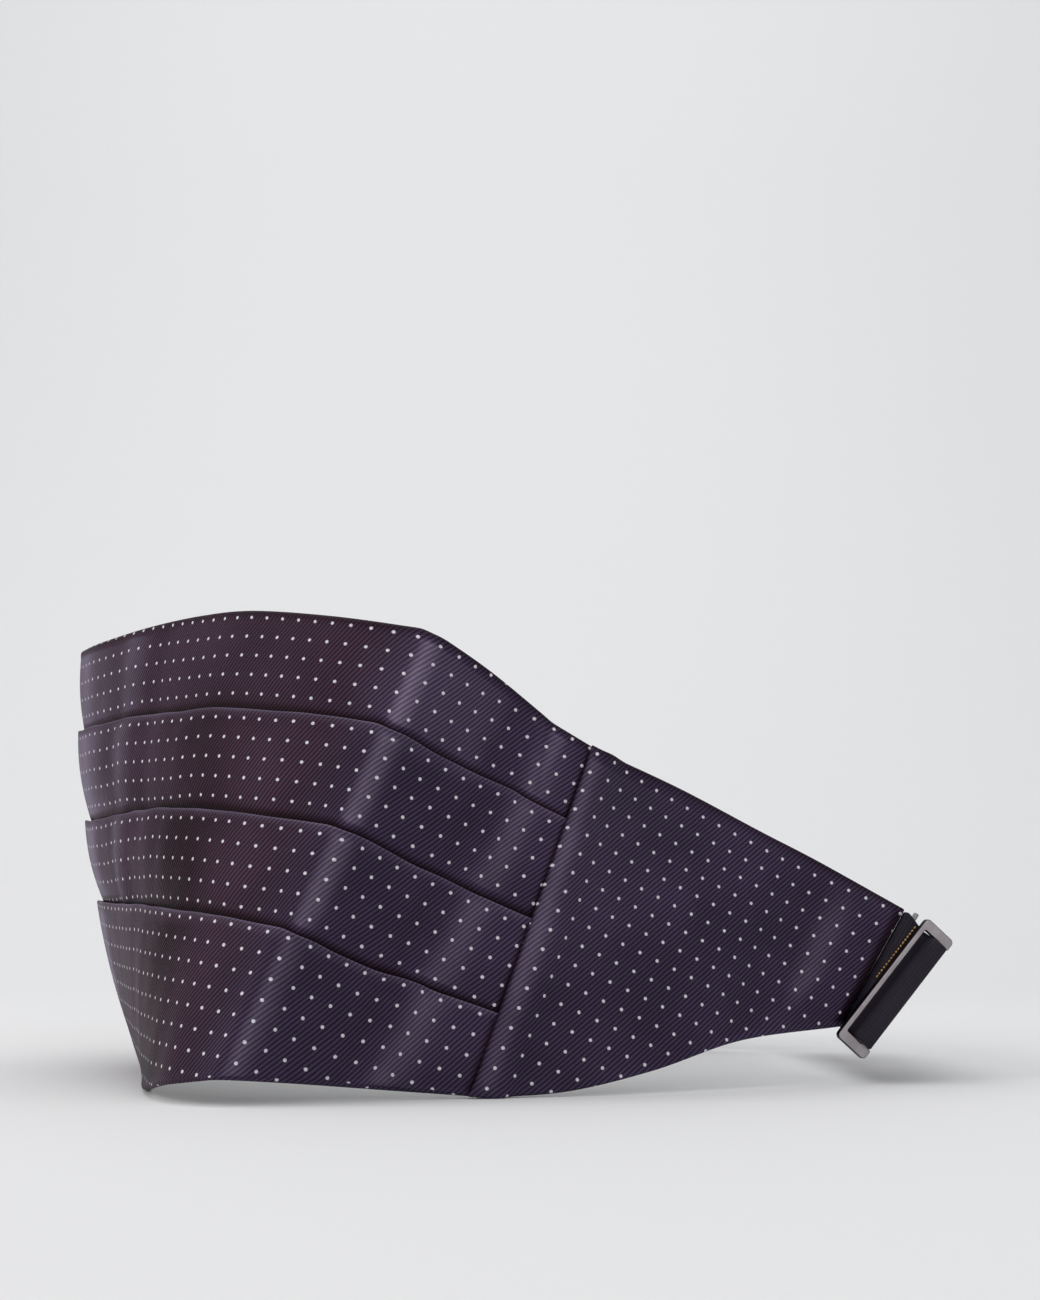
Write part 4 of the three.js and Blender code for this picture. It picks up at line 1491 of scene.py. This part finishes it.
class Shader:
    """Adds nodes to one node tree and links them."""

    def __init__(self, tree: bpy.types.NodeTree) -> None:
        """Works on a tree.

        Args:
            tree: A material's or a group's node tree.
        """
        self.tree = tree

    def node(self, kind: str, **settings: object) -> bpy.types.Node:
        """Adds a node.

        Args:
            kind: Its type name.
            **settings: Properties to set on it.

        Returns:
            The node.
        """
        node = self.tree.nodes.new(kind)
        for name, value in settings.items():
            setattr(node, name, value)
        return node

    def feed(self, socket: Socket, value: object) -> None:
        """Links an output to an input, or sets the input to a plain value.

        Args:
            socket: The input.
            value: An output socket, a number, a colour or a vector.
        """
        if isinstance(value, bpy.types.NodeSocket):
            self.tree.links.new(value, socket)
        elif isinstance(value, tuple) and len(value) == 3 and socket.type == "RGBA":
            socket.default_value = (*value, 1.0)
        else:
            socket.default_value = value

    def maths(self, operation: str, *values: object, clamp: bool = False) -> Socket:
        """Does one sum.

        Args:
            operation: The Math node's operation.
            *values: Its inputs.
            clamp: Whether the result is kept between 0 and 1.

        Returns:
            The result.
        """
        node = self.node("ShaderNodeMath", operation=operation, use_clamp=clamp)
        for socket, value in zip(node.inputs, values):
            self.feed(socket, value)
        return node.outputs[0]

    def vector(self, operation: str, *values: object) -> Socket:
        """Does one sum with vectors.

        Args:
            operation: The Vector Math node's operation.
            *values: Its inputs.

        Returns:
            The result, a vector or a number.
        """
        node = self.node("ShaderNodeVectorMath", operation=operation)
        for socket, value in zip(node.inputs, values):
            self.feed(socket, value)
        return node.outputs["Value"] if operation in ("LENGTH", "DOT_PRODUCT") else node.outputs[0]

    def blend(self, factor: object, first: object, second: object, kind: str = "MIX") -> Socket:
        """Mixes two colours.

        Args:
            factor: Share of the second.
            first: A colour.
            second: Another colour.
            kind: How they are mixed.

        Returns:
            The mixed colour.
        """
        node = self.node("ShaderNodeMix", data_type="RGBA", blend_type=kind)
        self.feed(node.inputs[0], factor)
        self.feed(node.inputs[6], first)
        self.feed(node.inputs[7], second)
        return node.outputs[2]

    def span(self, value: object, low: float, high: float, to: tuple[float, float] = (0.0, 1.0)) -> Socket:
        """Brings a value smoothly from one span to another.

        Args:
            value: The value.
            low: Where the first span starts.
            high: Where it ends.
            to: The second span.

        Returns:
            The value in the second span.
        """
        node = self.node("ShaderNodeMapRange", interpolation_type="SMOOTHSTEP")
        for name, given in (("Value", value), ("From Min", low), ("From Max", high)):
            self.feed(node.inputs[name], given)
        node.inputs["To Min"].default_value, node.inputs["To Max"].default_value = to
        return node.outputs[0]

    def cloud(self, place: Socket, scale: object, detail: float = 2.0, roughness: float = 0.5) -> Socket:
        """Soft noise.

        Args:
            place: Where to read it.
            scale: Its fineness.
            detail: Number of finer layers.
            roughness: Their strength.

        Returns:
            A value round one half.
        """
        node = self.node("ShaderNodeTexNoise")
        self.feed(node.inputs["Vector"], place)
        self.feed(node.inputs["Scale"], scale)
        node.inputs["Detail"].default_value = detail
        node.inputs["Roughness"].default_value = roughness
        return node.outputs["Fac"]

    def split(self, place: Socket) -> tuple[Socket, Socket, Socket]:
        """The three parts of a vector."""
        node = self.node("ShaderNodeSeparateXYZ")
        self.feed(node.inputs[0], place)
        return node.outputs[0], node.outputs[1], node.outputs[2]

    def join(self, x: object, y: object, z: object = 0.0) -> Socket:
        """A vector from its three parts."""
        node = self.node("ShaderNodeCombineXYZ")
        for socket, value in zip(node.inputs, (x, y, z)):
            self.feed(socket, value)
        return node.outputs[0]

    def group(self, tree: bpy.types.NodeTree, **values: object) -> bpy.types.Node:
        """Places a node group.

        Args:
            tree: The group.
            **values: Its inputs by name, with underscores for spaces.

        Returns:
            The group's node.
        """
        node = self.node("ShaderNodeGroup", node_tree=tree)
        for name, value in values.items():
            self.feed(node.inputs[name.replace("_", " ")], value)
        return node


def new_group(
    name: str,
    inputs: Sequence[tuple[str, str, object]],
    outputs: Sequence[tuple[str, str]],
    fill: Callable[[Shader, bpy.types.Node, bpy.types.Node], None],
) -> bpy.types.NodeTree:
    """Builds a shader node group.

    Args:
        name: Its name.
        inputs: Its inputs: name, kind and value at rest.
        outputs: Its outputs: name and kind.
        fill: Adds the nodes between its input and output node.

    Returns:
        The group.
    """
    tree = bpy.data.node_groups.new(name, "ShaderNodeTree")
    for label, kind, value in inputs:
        socket = tree.interface.new_socket(label, in_out="INPUT", socket_type="NodeSocket" + kind)
        if value is not None:
            socket.default_value = value
    for label, kind in outputs:
        tree.interface.new_socket(label, in_out="OUTPUT", socket_type="NodeSocket" + kind)
    shader = Shader(tree)
    fill(shader, shader.node("NodeGroupInput"), shader.node("NodeGroupOutput"))
    return tree


@dataclass(frozen=True)
class Effects:
    """Shader groups that more than one finish uses."""

    @cached_property
    def thread_lines(self) -> bpy.types.NodeTree:
        """Parallel raised threads at an angle, as a height from 0 to 1."""

        def fill(s: Shader, given: bpy.types.Node, result: bpy.types.Node) -> None:
            x, y, _ = s.split(given.outputs["Place"])
            turn = given.outputs["Angle"]
            across = s.maths(
                "ADD",
                s.maths("MULTIPLY", x, s.maths("SINE", turn)),
                s.maths("MULTIPLY", y, s.maths("COSINE", turn)),
            )
            waver = s.maths("SUBTRACT", s.cloud(given.outputs["Place"], 1.7), 0.5)
            waver = s.maths("MULTIPLY", waver, given.outputs["Waver"])
            phase = s.maths("MULTIPLY", s.maths("ADD", across, waver), given.outputs["Lines"])
            wave = s.maths("SINE", s.maths("MULTIPLY", phase, math.tau))
            height = s.maths("MULTIPLY_ADD", wave, 0.5, 0.5)
            s.feed(result.inputs["Height"], height)

        inputs = (
            ("Place", "Vector", None),
            ("Lines", "Float", 5.0),
            ("Angle", "Float", 0.0),
            ("Waver", "Float", 0.0),
        )
        return new_group("thread_lines", inputs, (("Height", "Float"),), fill)

    @cached_property
    def fine_grain(self) -> bpy.types.NodeTree:
        """Uneven tone and a fine speckle, each round one half."""

        def fill(s: Shader, given: bpy.types.Node, result: bpy.types.Node) -> None:
            place = given.outputs["Place"]
            s.feed(result.inputs["Tone"], s.cloud(place, given.outputs["Wide scale"], 3.0))
            s.feed(result.inputs["Speckle"], s.cloud(place, given.outputs["Fine scale"], 2.0, 0.7))

        inputs = (("Place", "Vector", None), ("Wide scale", "Float", 0.1), ("Fine scale", "Float", 8.0))
        return new_group("fine_grain", inputs, (("Tone", "Float"), ("Speckle", "Float")), fill)


EFFECTS = Effects()


def new_material(name: str) -> tuple[bpy.types.Material, Shader, bpy.types.Node]:
    """Starts a material.

    Args:
        name: Its name.

    Returns:
        The material, its node helper and its surface shader.
    """
    material = bpy.data.materials.new(name)
    material.use_nodes = True
    shader = Shader(material.node_tree)
    surface = material.node_tree.nodes["Principled BSDF"]
    return material, shader, surface


def raise_surface(s: Shader, surface: bpy.types.Node, height: Socket, depth: float, strength: float) -> None:
    """Gives a surface a fine relief.

    Args:
        s: The material's node helper.
        surface: Its surface shader.
        height: The relief, from 0 to 1.
        depth: How deep it is, in metres.
        strength: How much of it shows.
    """
    bump = s.node("ShaderNodeBump")
    bump.inputs["Strength"].default_value = strength
    bump.inputs["Distance"].default_value = depth
    s.feed(bump.inputs["Height"], height)
    s.feed(surface.inputs["Normal"], bump.outputs["Normal"])


@dataclass(frozen=True)
class DottedTwill:
    """Shot silk twill of plum and navy threads with small woven dots.

    Attributes:
        plum: Colour of the raised threads in front of the storage crease.
        navy: Colour of the raised threads behind the crease; the change from plum is painted by place,
            standing in for the shot silk's change of colour under the lights.
        ground: Colour of the threads between them.
        painted_highlight: Colour of the painted highlights along folds, ridges and edges.
        dot: Colour of the woven dots.
        dot_radius: Half of a dot's width, in pitches.
        crease_foot: Where the storage crease meets the floor, along the ring, in metres.
        crease_lean: How far the crease leans back for each metre of height.
        lines: Twill lines in one pitch.
        angle: Angle of the lines from the dot rows, in degrees.
        specular: Strength of the mirror-like shine.
        sheen: Strength of the soft shine at grazing angles.
        sheen_roughness: How widely that shine spreads.
    """

    plum: Shares = (0.066, 0.034, 0.056)
    navy: Shares = (0.066, 0.049, 0.094)
    ground: Shares = (0.009, 0.005, 0.012)
    painted_highlight: Shares = (0.200, 0.162, 0.236)
    dot: Shares = (0.66, 0.63, 0.68)
    dot_radius: float = 0.084
    crease_foot: float = -0.068
    crease_lean: float = 0.42
    lines: float = 5.2
    angle: float = 60.0
    specular: float = 0.07
    sheen: float = 0.045
    sheen_roughness: float = 0.22

    def build(self) -> bpy.types.Material:
        """Builds the material.

        Returns:
            The material.
        """
        material, s, surface = new_material("dotted_twill")
        place = s.node("ShaderNodeUVMap", uv_map=PATTERN_MAP).outputs["UV"]
        body = s.node("ShaderNodeTexCoord").outputs["Object"]
        twill = s.group(
            EFFECTS.thread_lines, Place=place, Lines=self.lines, Angle=math.radians(self.angle), Waver=0.05
        )
        grain = s.group(EFFECTS.fine_grain, Place=place, Wide_scale=0.16, Fine_scale=14.0)
        dots = self.dots(s, place, grain.outputs["Speckle"])
        # Painted light: the threads turn from plum to navy behind the storage crease by place, standing in
        # for the shot silk's change of colour under the lights.
        along, _, above = s.split(body)
        past_crease = s.maths("MULTIPLY_ADD", above, -self.crease_lean, along)
        painted_shot_shift = s.span(past_crease, self.crease_foot - 0.016, self.crease_foot + 0.006)
        tone = s.span(grain.outputs["Tone"], 0.3, 0.7, (0.8, 1.2))
        thread = s.blend(painted_shot_shift, self.plum, self.navy)
        fuzz = s.span(grain.outputs["Speckle"], 0.2, 0.8, (0.7, 1.25))
        ridge = s.maths("MULTIPLY", twill.outputs["Height"], fuzz)
        # The tone attribute carries painted light: painted highlights blend the threads, and a little of the
        # ground, towards the highlight colour.
        painted_light = s.node("ShaderNodeAttribute", attribute_name=PAINTED_LIGHT_TONE).outputs["Fac"]
        light_and_shade = s.maths("MULTIPLY_ADD", grain.outputs["Tone"], 0.5, -0.25)
        light_and_shade = s.maths("ADD", painted_light, s.maths("MULTIPLY", light_and_shade, s.span(painted_light, 0.0, 0.5)))
        thread = s.blend(s.maths("MULTIPLY", light_and_shade, 1.0, clamp=True), thread, self.painted_highlight)
        ground = s.blend(s.maths("MULTIPLY", light_and_shade, 0.3, clamp=True), self.ground, self.painted_highlight)
        cloth = s.blend(s.maths("MULTIPLY_ADD", ridge, 0.8, 0.11), ground, thread)
        cloth = s.blend(1.0, cloth, s.join(tone, tone, tone), "MULTIPLY")
        # Painted shade: negative tone darkens the cloth, a little less in red, and darkens the dots in the
        # deepest crevices.
        shade = s.span(painted_light, -1.0, 0.0, (0.1, 1.0))
        deep = s.span(painted_light, -1.0, -0.55, (0.12, 1.0))
        warm = s.span(painted_light, -1.15, 0.0, (0.1, 1.0))
        cloth = s.blend(1.0, cloth, s.join(warm, shade, shade), "MULTIPLY")
        dot = s.blend(1.0, self.dot, s.join(deep, deep, deep), "MULTIPLY")
        s.feed(surface.inputs["Base Color"], s.blend(dots, cloth, dot))
        rough = s.maths("MULTIPLY_ADD", twill.outputs["Height"], -0.12, 0.56)
        s.feed(surface.inputs["Roughness"], s.maths("ADD", rough, s.maths("MULTIPLY", dots, 0.15)))
        height = s.maths("ADD", twill.outputs["Height"], s.maths("MULTIPLY", grain.outputs["Speckle"], 0.5))
        height = s.maths("ADD", height, s.maths("MULTIPLY", dots, 0.7))
        raise_surface(s, surface, height, 0.12 * MM, 0.6)
        surface.inputs["Specular IOR Level"].default_value = self.specular
        surface.inputs["Specular Tint"].default_value = (1.0, 0.72, 0.92, 1)
        surface.inputs["Sheen Weight"].default_value = self.sheen
        surface.inputs["Sheen Roughness"].default_value = self.sheen_roughness
        surface.inputs["Sheen Tint"].default_value = (0.86, 0.68, 0.90, 1)
        return material

    def dots(self, s: Shader, place: Socket, speckle: Socket) -> Socket:
        """Small woven dots on a square lattice.

        Args:
            s: The material's node helper.
            place: Pattern coordinates in pitches.
            speckle: Noise that frays the dots' edges.

        Returns:
            A mask that is 1 on the dots.
        """
        cell = s.vector("FRACTION", s.vector("ADD", place, (0.5, 0.5, 0.0)))
        cell = s.vector("SUBTRACT", cell, (0.5, 0.5, 0.0))
        away = s.vector("LENGTH", s.vector("MULTIPLY", cell, (1.0, 1.0, 0.0)))
        away = s.maths("ADD", away, s.maths("MULTIPLY", s.maths("SUBTRACT", speckle, 0.5), 0.05))
        return s.span(away, self.dot_radius * 1.25, self.dot_radius * 0.72)


@dataclass(frozen=True)
class PlainSatin:
    """Plain dark woven satin, for the lining and the strap.

    Attributes:
        name: The material's name.
        thread: Colour of its raised threads.
        ground: Colour between them.
        lines: Threads in one unit of the piece's pattern coordinates.
        angle: Angle of the threads, in degrees.
        depth: Depth of the weave.
        roughness: Roughness of the threads.
    """

    name: str
    thread: Shares
    ground: Shares
    lines: float
    angle: float
    depth: float
    roughness: float

    def build(self) -> bpy.types.Material:
        """Builds the material.

        Returns:
            The material.
        """
        material, s, surface = new_material(self.name)
        place = s.node("ShaderNodeUVMap", uv_map=PATTERN_MAP).outputs["UV"]
        weave = s.group(
            EFFECTS.thread_lines, Place=place, Lines=self.lines, Angle=math.radians(self.angle), Waver=0.02
        )
        cross = s.group(
            EFFECTS.thread_lines, Place=place, Lines=self.lines * 0.7, Angle=math.radians(self.angle + 90)
        )
        grain = s.group(EFFECTS.fine_grain, Place=place, Wide_scale=0.12, Fine_scale=6.0)
        height = s.maths("MULTIPLY_ADD", cross.outputs["Height"], 0.35, weave.outputs["Height"])
        height = s.maths("MULTIPLY_ADD", grain.outputs["Speckle"], 0.4, height)
        cloth = s.blend(s.maths("MULTIPLY", height, 0.55, clamp=True), self.ground, self.thread)
        tone = s.span(grain.outputs["Tone"], 0.3, 0.7, (0.82, 1.15))
        s.feed(surface.inputs["Base Color"], s.blend(1.0, cloth, s.join(tone, tone, tone), "MULTIPLY"))
        rough = s.span(grain.outputs["Speckle"], 0.2, 0.8, (self.roughness - 0.06, self.roughness + 0.08))
        s.feed(surface.inputs["Roughness"], rough)
        raise_surface(s, surface, height, self.depth, 0.6)
        surface.inputs["Specular IOR Level"].default_value = 0.22
        surface.inputs["Sheen Weight"].default_value = 0.06
        surface.inputs["Sheen Roughness"].default_value = 0.4
        surface.inputs["Sheen Tint"].default_value = (0.85, 0.85, 0.95, 1)
        return material


@dataclass(frozen=True)
class BrushedMetal:
    """Satin metal with a fine grain along its length.

    Attributes:
        name: The material's name.
        colour: Its colour.
        roughness: Its roughness.
        follows_map: Whether the grain follows the piece's own pattern coordinates.
        side_shade: Share of the colour left on edges and sides, where they are painted in shade; 1 leaves
            them as they are.
    """

    name: str
    colour: Shares
    roughness: float
    follows_map: bool = True
    side_shade: float = 1.0

    def build(self) -> bpy.types.Material:
        """Builds the material.

        Returns:
            The material.
        """
        material, s, surface = new_material(self.name)
        body = s.node("ShaderNodeTexCoord").outputs["Object"]
        wide = s.vector("SCALE", body)
        wide.node.inputs["Scale"].default_value = 1 / MM
        place = s.node("ShaderNodeUVMap", uv_map=PATTERN_MAP).outputs["UV"] if self.follows_map else wide
        brushed = s.vector("MULTIPLY", place, (9.0, 0.35, 1.0))
        grain = s.group(EFFECTS.fine_grain, Place=brushed, Wide_scale=0.9, Fine_scale=2.6)
        smudge = s.group(EFFECTS.fine_grain, Place=wide, Wide_scale=0.22, Fine_scale=1.6)
        tone = s.span(smudge.outputs["Tone"], 0.25, 0.75, (0.86, 1.12))
        # Painted shade: edges and sides are darkened to side_shade of their colour.
        painted_light = s.node("ShaderNodeAttribute", attribute_name=PAINTED_LIGHT_TONE).outputs["Fac"]
        tone = s.maths("MULTIPLY", tone, s.span(painted_light, -1.0, 0.0, (self.side_shade, 1.0)))
        s.feed(surface.inputs["Base Color"], s.blend(1.0, self.colour, s.join(tone, tone, tone), "MULTIPLY"))
        rough = s.span(grain.outputs["Tone"], 0.3, 0.7, (self.roughness - 0.06, self.roughness + 0.08))
        rough = s.maths("MULTIPLY_ADD", smudge.outputs["Speckle"], 0.08, rough)
        s.feed(surface.inputs["Roughness"], rough)
        raise_surface(s, surface, grain.outputs["Speckle"], 0.02 * MM, 0.35)
        surface.inputs["Metallic"].default_value = 1.0
        return material


@dataclass(frozen=True)
class MetallicThread:
    """Brass-coloured sewing thread.

    Attributes:
        light: Colour of its turns.
        dark: Colour between them.
    """

    light: Shares = (0.72, 0.46, 0.18)
    dark: Shares = (0.26, 0.13, 0.05)

    def build(self) -> bpy.types.Material:
        """Builds the material.

        Returns:
            The material.
        """
        material, s, surface = new_material("brass_thread")
        body = s.node("ShaderNodeTexCoord").outputs["Object"]
        place = s.vector("SCALE", body)
        place.node.inputs["Scale"].default_value = 1 / MM
        twist = s.group(EFFECTS.thread_lines, Place=place, Lines=3.2, Angle=0.9, Waver=0.2)
        grain = s.group(EFFECTS.fine_grain, Place=place, Wide_scale=0.8, Fine_scale=9.0)
        mixed = s.maths("MULTIPLY", twist.outputs["Height"], grain.outputs["Speckle"])
        s.feed(surface.inputs["Base Color"], s.blend(s.span(mixed, 0.05, 0.5), self.dark, self.light))
        s.feed(surface.inputs["Roughness"], s.span(grain.outputs["Speckle"], 0.2, 0.8, (0.3, 0.5)))
        surface.inputs["Metallic"].default_value = 0.6
        return material


@dataclass(frozen=True)
class Softbox:
    """A rectangular studio light.

    Attributes:
        name: Its name.
        place: Where it stands, in metres.
        aim: What it points at.
        size: Width and height.
        power: Its power in watts.
        colour: Its colour.
    """

    name: str
    place: Shares
    aim: Shares
    size: tuple[float, float]
    power: float
    colour: Shares = (1.0, 1.0, 1.0)

    def build(self) -> None:
        """Sets the light up."""
        light = bpy.data.lights.new(self.name, "AREA")
        light.shape = "RECTANGLE"
        light.size, light.size_y = self.size
        light.energy = self.power
        light.color = self.colour
        obj = bpy.data.objects.new(self.name, light)
        obj.location = self.place
        obj.rotation_euler = (Vector(self.aim) - Vector(self.place)).to_track_quat("-Z", "Y").to_euler()
        bpy.context.scene.collection.objects.link(obj)


@dataclass
class Studio:
    """Pale seamless floor and background, soft light, and the camera.

    Attributes:
        paper: Colour of the floor and background.
        half_width: Half of the paper's width.
        front: How far the paper reaches towards the camera.
        bend_start: Where it starts to rise behind the object.
        bend_radius: Radius of the rise.
        height: Height of the background.
        ambient: Colour of the light from all around.
        ambient_power: Its strength.
        lights: The softboxes.
        camera_place: Where the camera stands.
        camera_pitch: Its angle above the horizon, in degrees.
        lens: Its focal length in millimetres.
    """

    paper: Shares = (0.80, 0.80, 0.80)
    half_width: float = 5.0
    front: float = 3.5
    bend_start: float = 0.7
    bend_radius: float = 1.1
    height: float = 4.5
    ambient: Shares = (0.95, 0.97, 1.0)
    ambient_power: float = 0.49
    lights: tuple[Softbox, ...] = (
        Softbox("key_left", (-1.35, -0.55, 0.75), (0.0, 0.0, 0.05), (0.9, 1.0), 10.0, (1.0, 0.96, 0.95)),
        Softbox("front_fill", (0.9, -1.9, 1.0), (0.0, 0.0, 0.05), (1.0, 0.9), 7.0, (0.95, 0.96, 1.0)),
        Softbox("top_soft", (0.0, 0.0, 1.8), (0.0, 0.0, 0.0), (2.0, 2.0), 7.0),
        Softbox("wall_wash", (0.0, 0.2, 2.2), (0.0, 1.7, 0.9), (2.4, 0.8), 14.0),
    )
    camera_place: Shares = (0.00979, -0.5885, 0.042)
    camera_pitch: float = 8.9
    lens: float = 50.0

    def floor(self) -> bpy.types.Object:
        """Builds the seamless floor and background.

        Returns:
            The new object.
        """
        profile = [(-self.front, 0.0)]
        for angle in np.radians(np.linspace(0, 90, 25)):
            profile.append((
                self.bend_start + self.bend_radius * math.sin(angle),
                self.bend_radius * (1 - math.cos(angle)),
            ))
        profile.append((self.bend_start + self.bend_radius, self.height))
        points = [(x, y, z) for x in (-self.half_width, self.half_width) for y, z in profile]
        count = len(profile)
        faces = [(n, n + count, n + count + 1, n + 1) for n in range(count - 1)]
        mesh = bpy.data.meshes.new("seamless_floor")
        mesh.from_pydata(points, [], faces)
        for polygon in mesh.polygons:
            polygon.use_smooth = True
        obj = bpy.data.objects.new("seamless_floor", mesh)
        bpy.context.scene.collection.objects.link(obj)
        material, s, surface = new_material("paper")
        body = s.node("ShaderNodeTexCoord").outputs["Object"]
        grain = s.group(EFFECTS.fine_grain, Place=body, Wide_scale=0.4, Fine_scale=60.0)
        tone = s.span(grain.outputs["Tone"], 0.2, 0.8, (0.99, 1.01))
        s.feed(surface.inputs["Base Color"], s.blend(1.0, self.paper, s.join(tone, tone, tone), "MULTIPLY"))
        surface.inputs["Roughness"].default_value = 0.9
        surface.inputs["Specular IOR Level"].default_value = 0.1
        mesh.materials.append(material)
        return obj

    def build(self) -> None:
        """Sets up the floor, the lights, the world and the camera."""
        self.floor()
        for light in self.lights:
            light.build()
        world = bpy.data.worlds.new("studio")
        world.use_nodes = True
        background = world.node_tree.nodes["Background"]
        background.inputs["Color"].default_value = (*self.ambient, 1)
        background.inputs["Strength"].default_value = self.ambient_power
        scene = bpy.context.scene
        scene.world = world
        scene.view_settings.view_transform = "Standard"
        camera = bpy.data.cameras.new("camera")
        camera.lens = self.lens
        camera.sensor_width = 36.0
        camera.clip_start = 0.01
        obj = bpy.data.objects.new("camera", camera)
        obj.location = self.camera_place
        obj.rotation_euler = (math.radians(90 + self.camera_pitch), 0, 0)
        scene.collection.objects.link(obj)
        scene.camera = obj


@dataclass
class Cummerbund:
    """The whole object: its cloth, straps, metal and stitches, with their finishes.

    Attributes:
        ring: Form of the cloth.
        twill: Outer cloth.
        lining: Inside of the cloth.
        webbing: The straps.
        gunmetal: The slide.
        steel: The slim bar and the clasp.
        thread: The visible stitches.
    """

    ring: ClothRing = field(default_factory=ClothRing)
    twill: DottedTwill = DottedTwill()
    lining: PlainSatin = PlainSatin(
        "dark_lining", (0.022, 0.019, 0.030), (0.008, 0.007, 0.011), 7.0, 90.0, 0.05 * MM, 0.42
    )
    webbing: PlainSatin = PlainSatin(
        "strap_satin", (0.020, 0.014, 0.026), (0.006, 0.004, 0.009), 1.25, 90.0, 0.08 * MM, 0.5
    )
    gunmetal: BrushedMetal = BrushedMetal("gunmetal", (0.37, 0.335, 0.35), 0.38, True, 0.08)
    steel: BrushedMetal = BrushedMetal("clasp_steel", (0.25, 0.245, 0.24), 0.3, False)
    thread: MetallicThread = MetallicThread()

    def dress(
        self, piece: bpy.types.Object, slot: str, node: str | None, *finishes: bpy.types.Material
    ) -> None:
        """Finishes a piece and sets it on the frame.

        Args:
            piece: The piece.
            slot: The record's material slot; not used.
            node: The solid that it stands for, if any.
            *finishes: Its materials in order.
        """
        for finish in finishes:
            piece.data.materials.append(finish)
        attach(piece, "root")
        if node:
            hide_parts(node)
        box = np.array([v.co for v in piece.data.vertices])
        spans = ["%.1f..%.1f" % (low / MM, high / MM) for low, high in zip(box.min(0), box.max(0))]
        area = sum(polygon.area for polygon in piece.data.polygons) / 2
        log.info("%s: %d faces, %.5f m2, mm %s", piece.name, len(piece.data.polygons), area, " ".join(spans))

    def stitch_line(self, strap: Strap) -> np.ndarray:
        """Line of the stitches that hold the near strap's end beside the slide.

        Args:
            strap: The near strap.

        Returns:
            Its points in rows.
        """
        out = -strap.slide_thickness / 2 - strap.gap + 0.12 * MM
        shares = np.linspace(0.47, -0.02, 12)
        return np.array([strap.slide.point(-0.45 * MM, out, share * strap.width) for share in shares])

    def build(self) -> None:
        """Builds and dresses every piece."""
        twill, lining = self.twill.build(), self.lining.build()
        webbing, thread = self.webbing.build(), self.thread.build()
        gunmetal, steel = self.gunmetal.build(), self.steel.build()
        front = PleatedFront(self.ring).build()
        self.dress(front, "dotted_twill", "front_panel", twill, lining)
        panel = SidePanel(self.ring)
        for side, node in ((Side.NEAR, "side_panel_right"), (Side.FAR, "side_panel_left")):
            cloth = panel.build(side)
            self.dress(cloth, "dotted_twill", node, twill, lining)
        slide = SlideFrame(self.ring)
        strap = Strap(slide)
        for side, node in ((Side.NEAR, "strap_right"), (Side.FAR, "strap_left")):
            webbing_piece = strap.build(side)
            self.dress(webbing_piece, "satin", node, webbing)
        hardware = Hardware(strap)
        self.dress(hardware.slide(), "gunmetal", "slide_buckle", gunmetal)
        self.dress(hardware.pin(), "clasp_steel", "strap_pin", steel)
        self.dress(hardware.clasp(), "clasp_steel", "back_clasp", steel)
        stitches = StitchRow("strap_stitches").build(self.stitch_line(strap), thread)
        self.dress(stitches, "satin", None)


def main() -> None:
    """Builds the cummerbund and its studio."""
    logging.basicConfig(level=logging.INFO, format="%(name)s: %(message)s")
    Cummerbund().build()
    Studio().build()


if __name__ == "__main__":
    main()
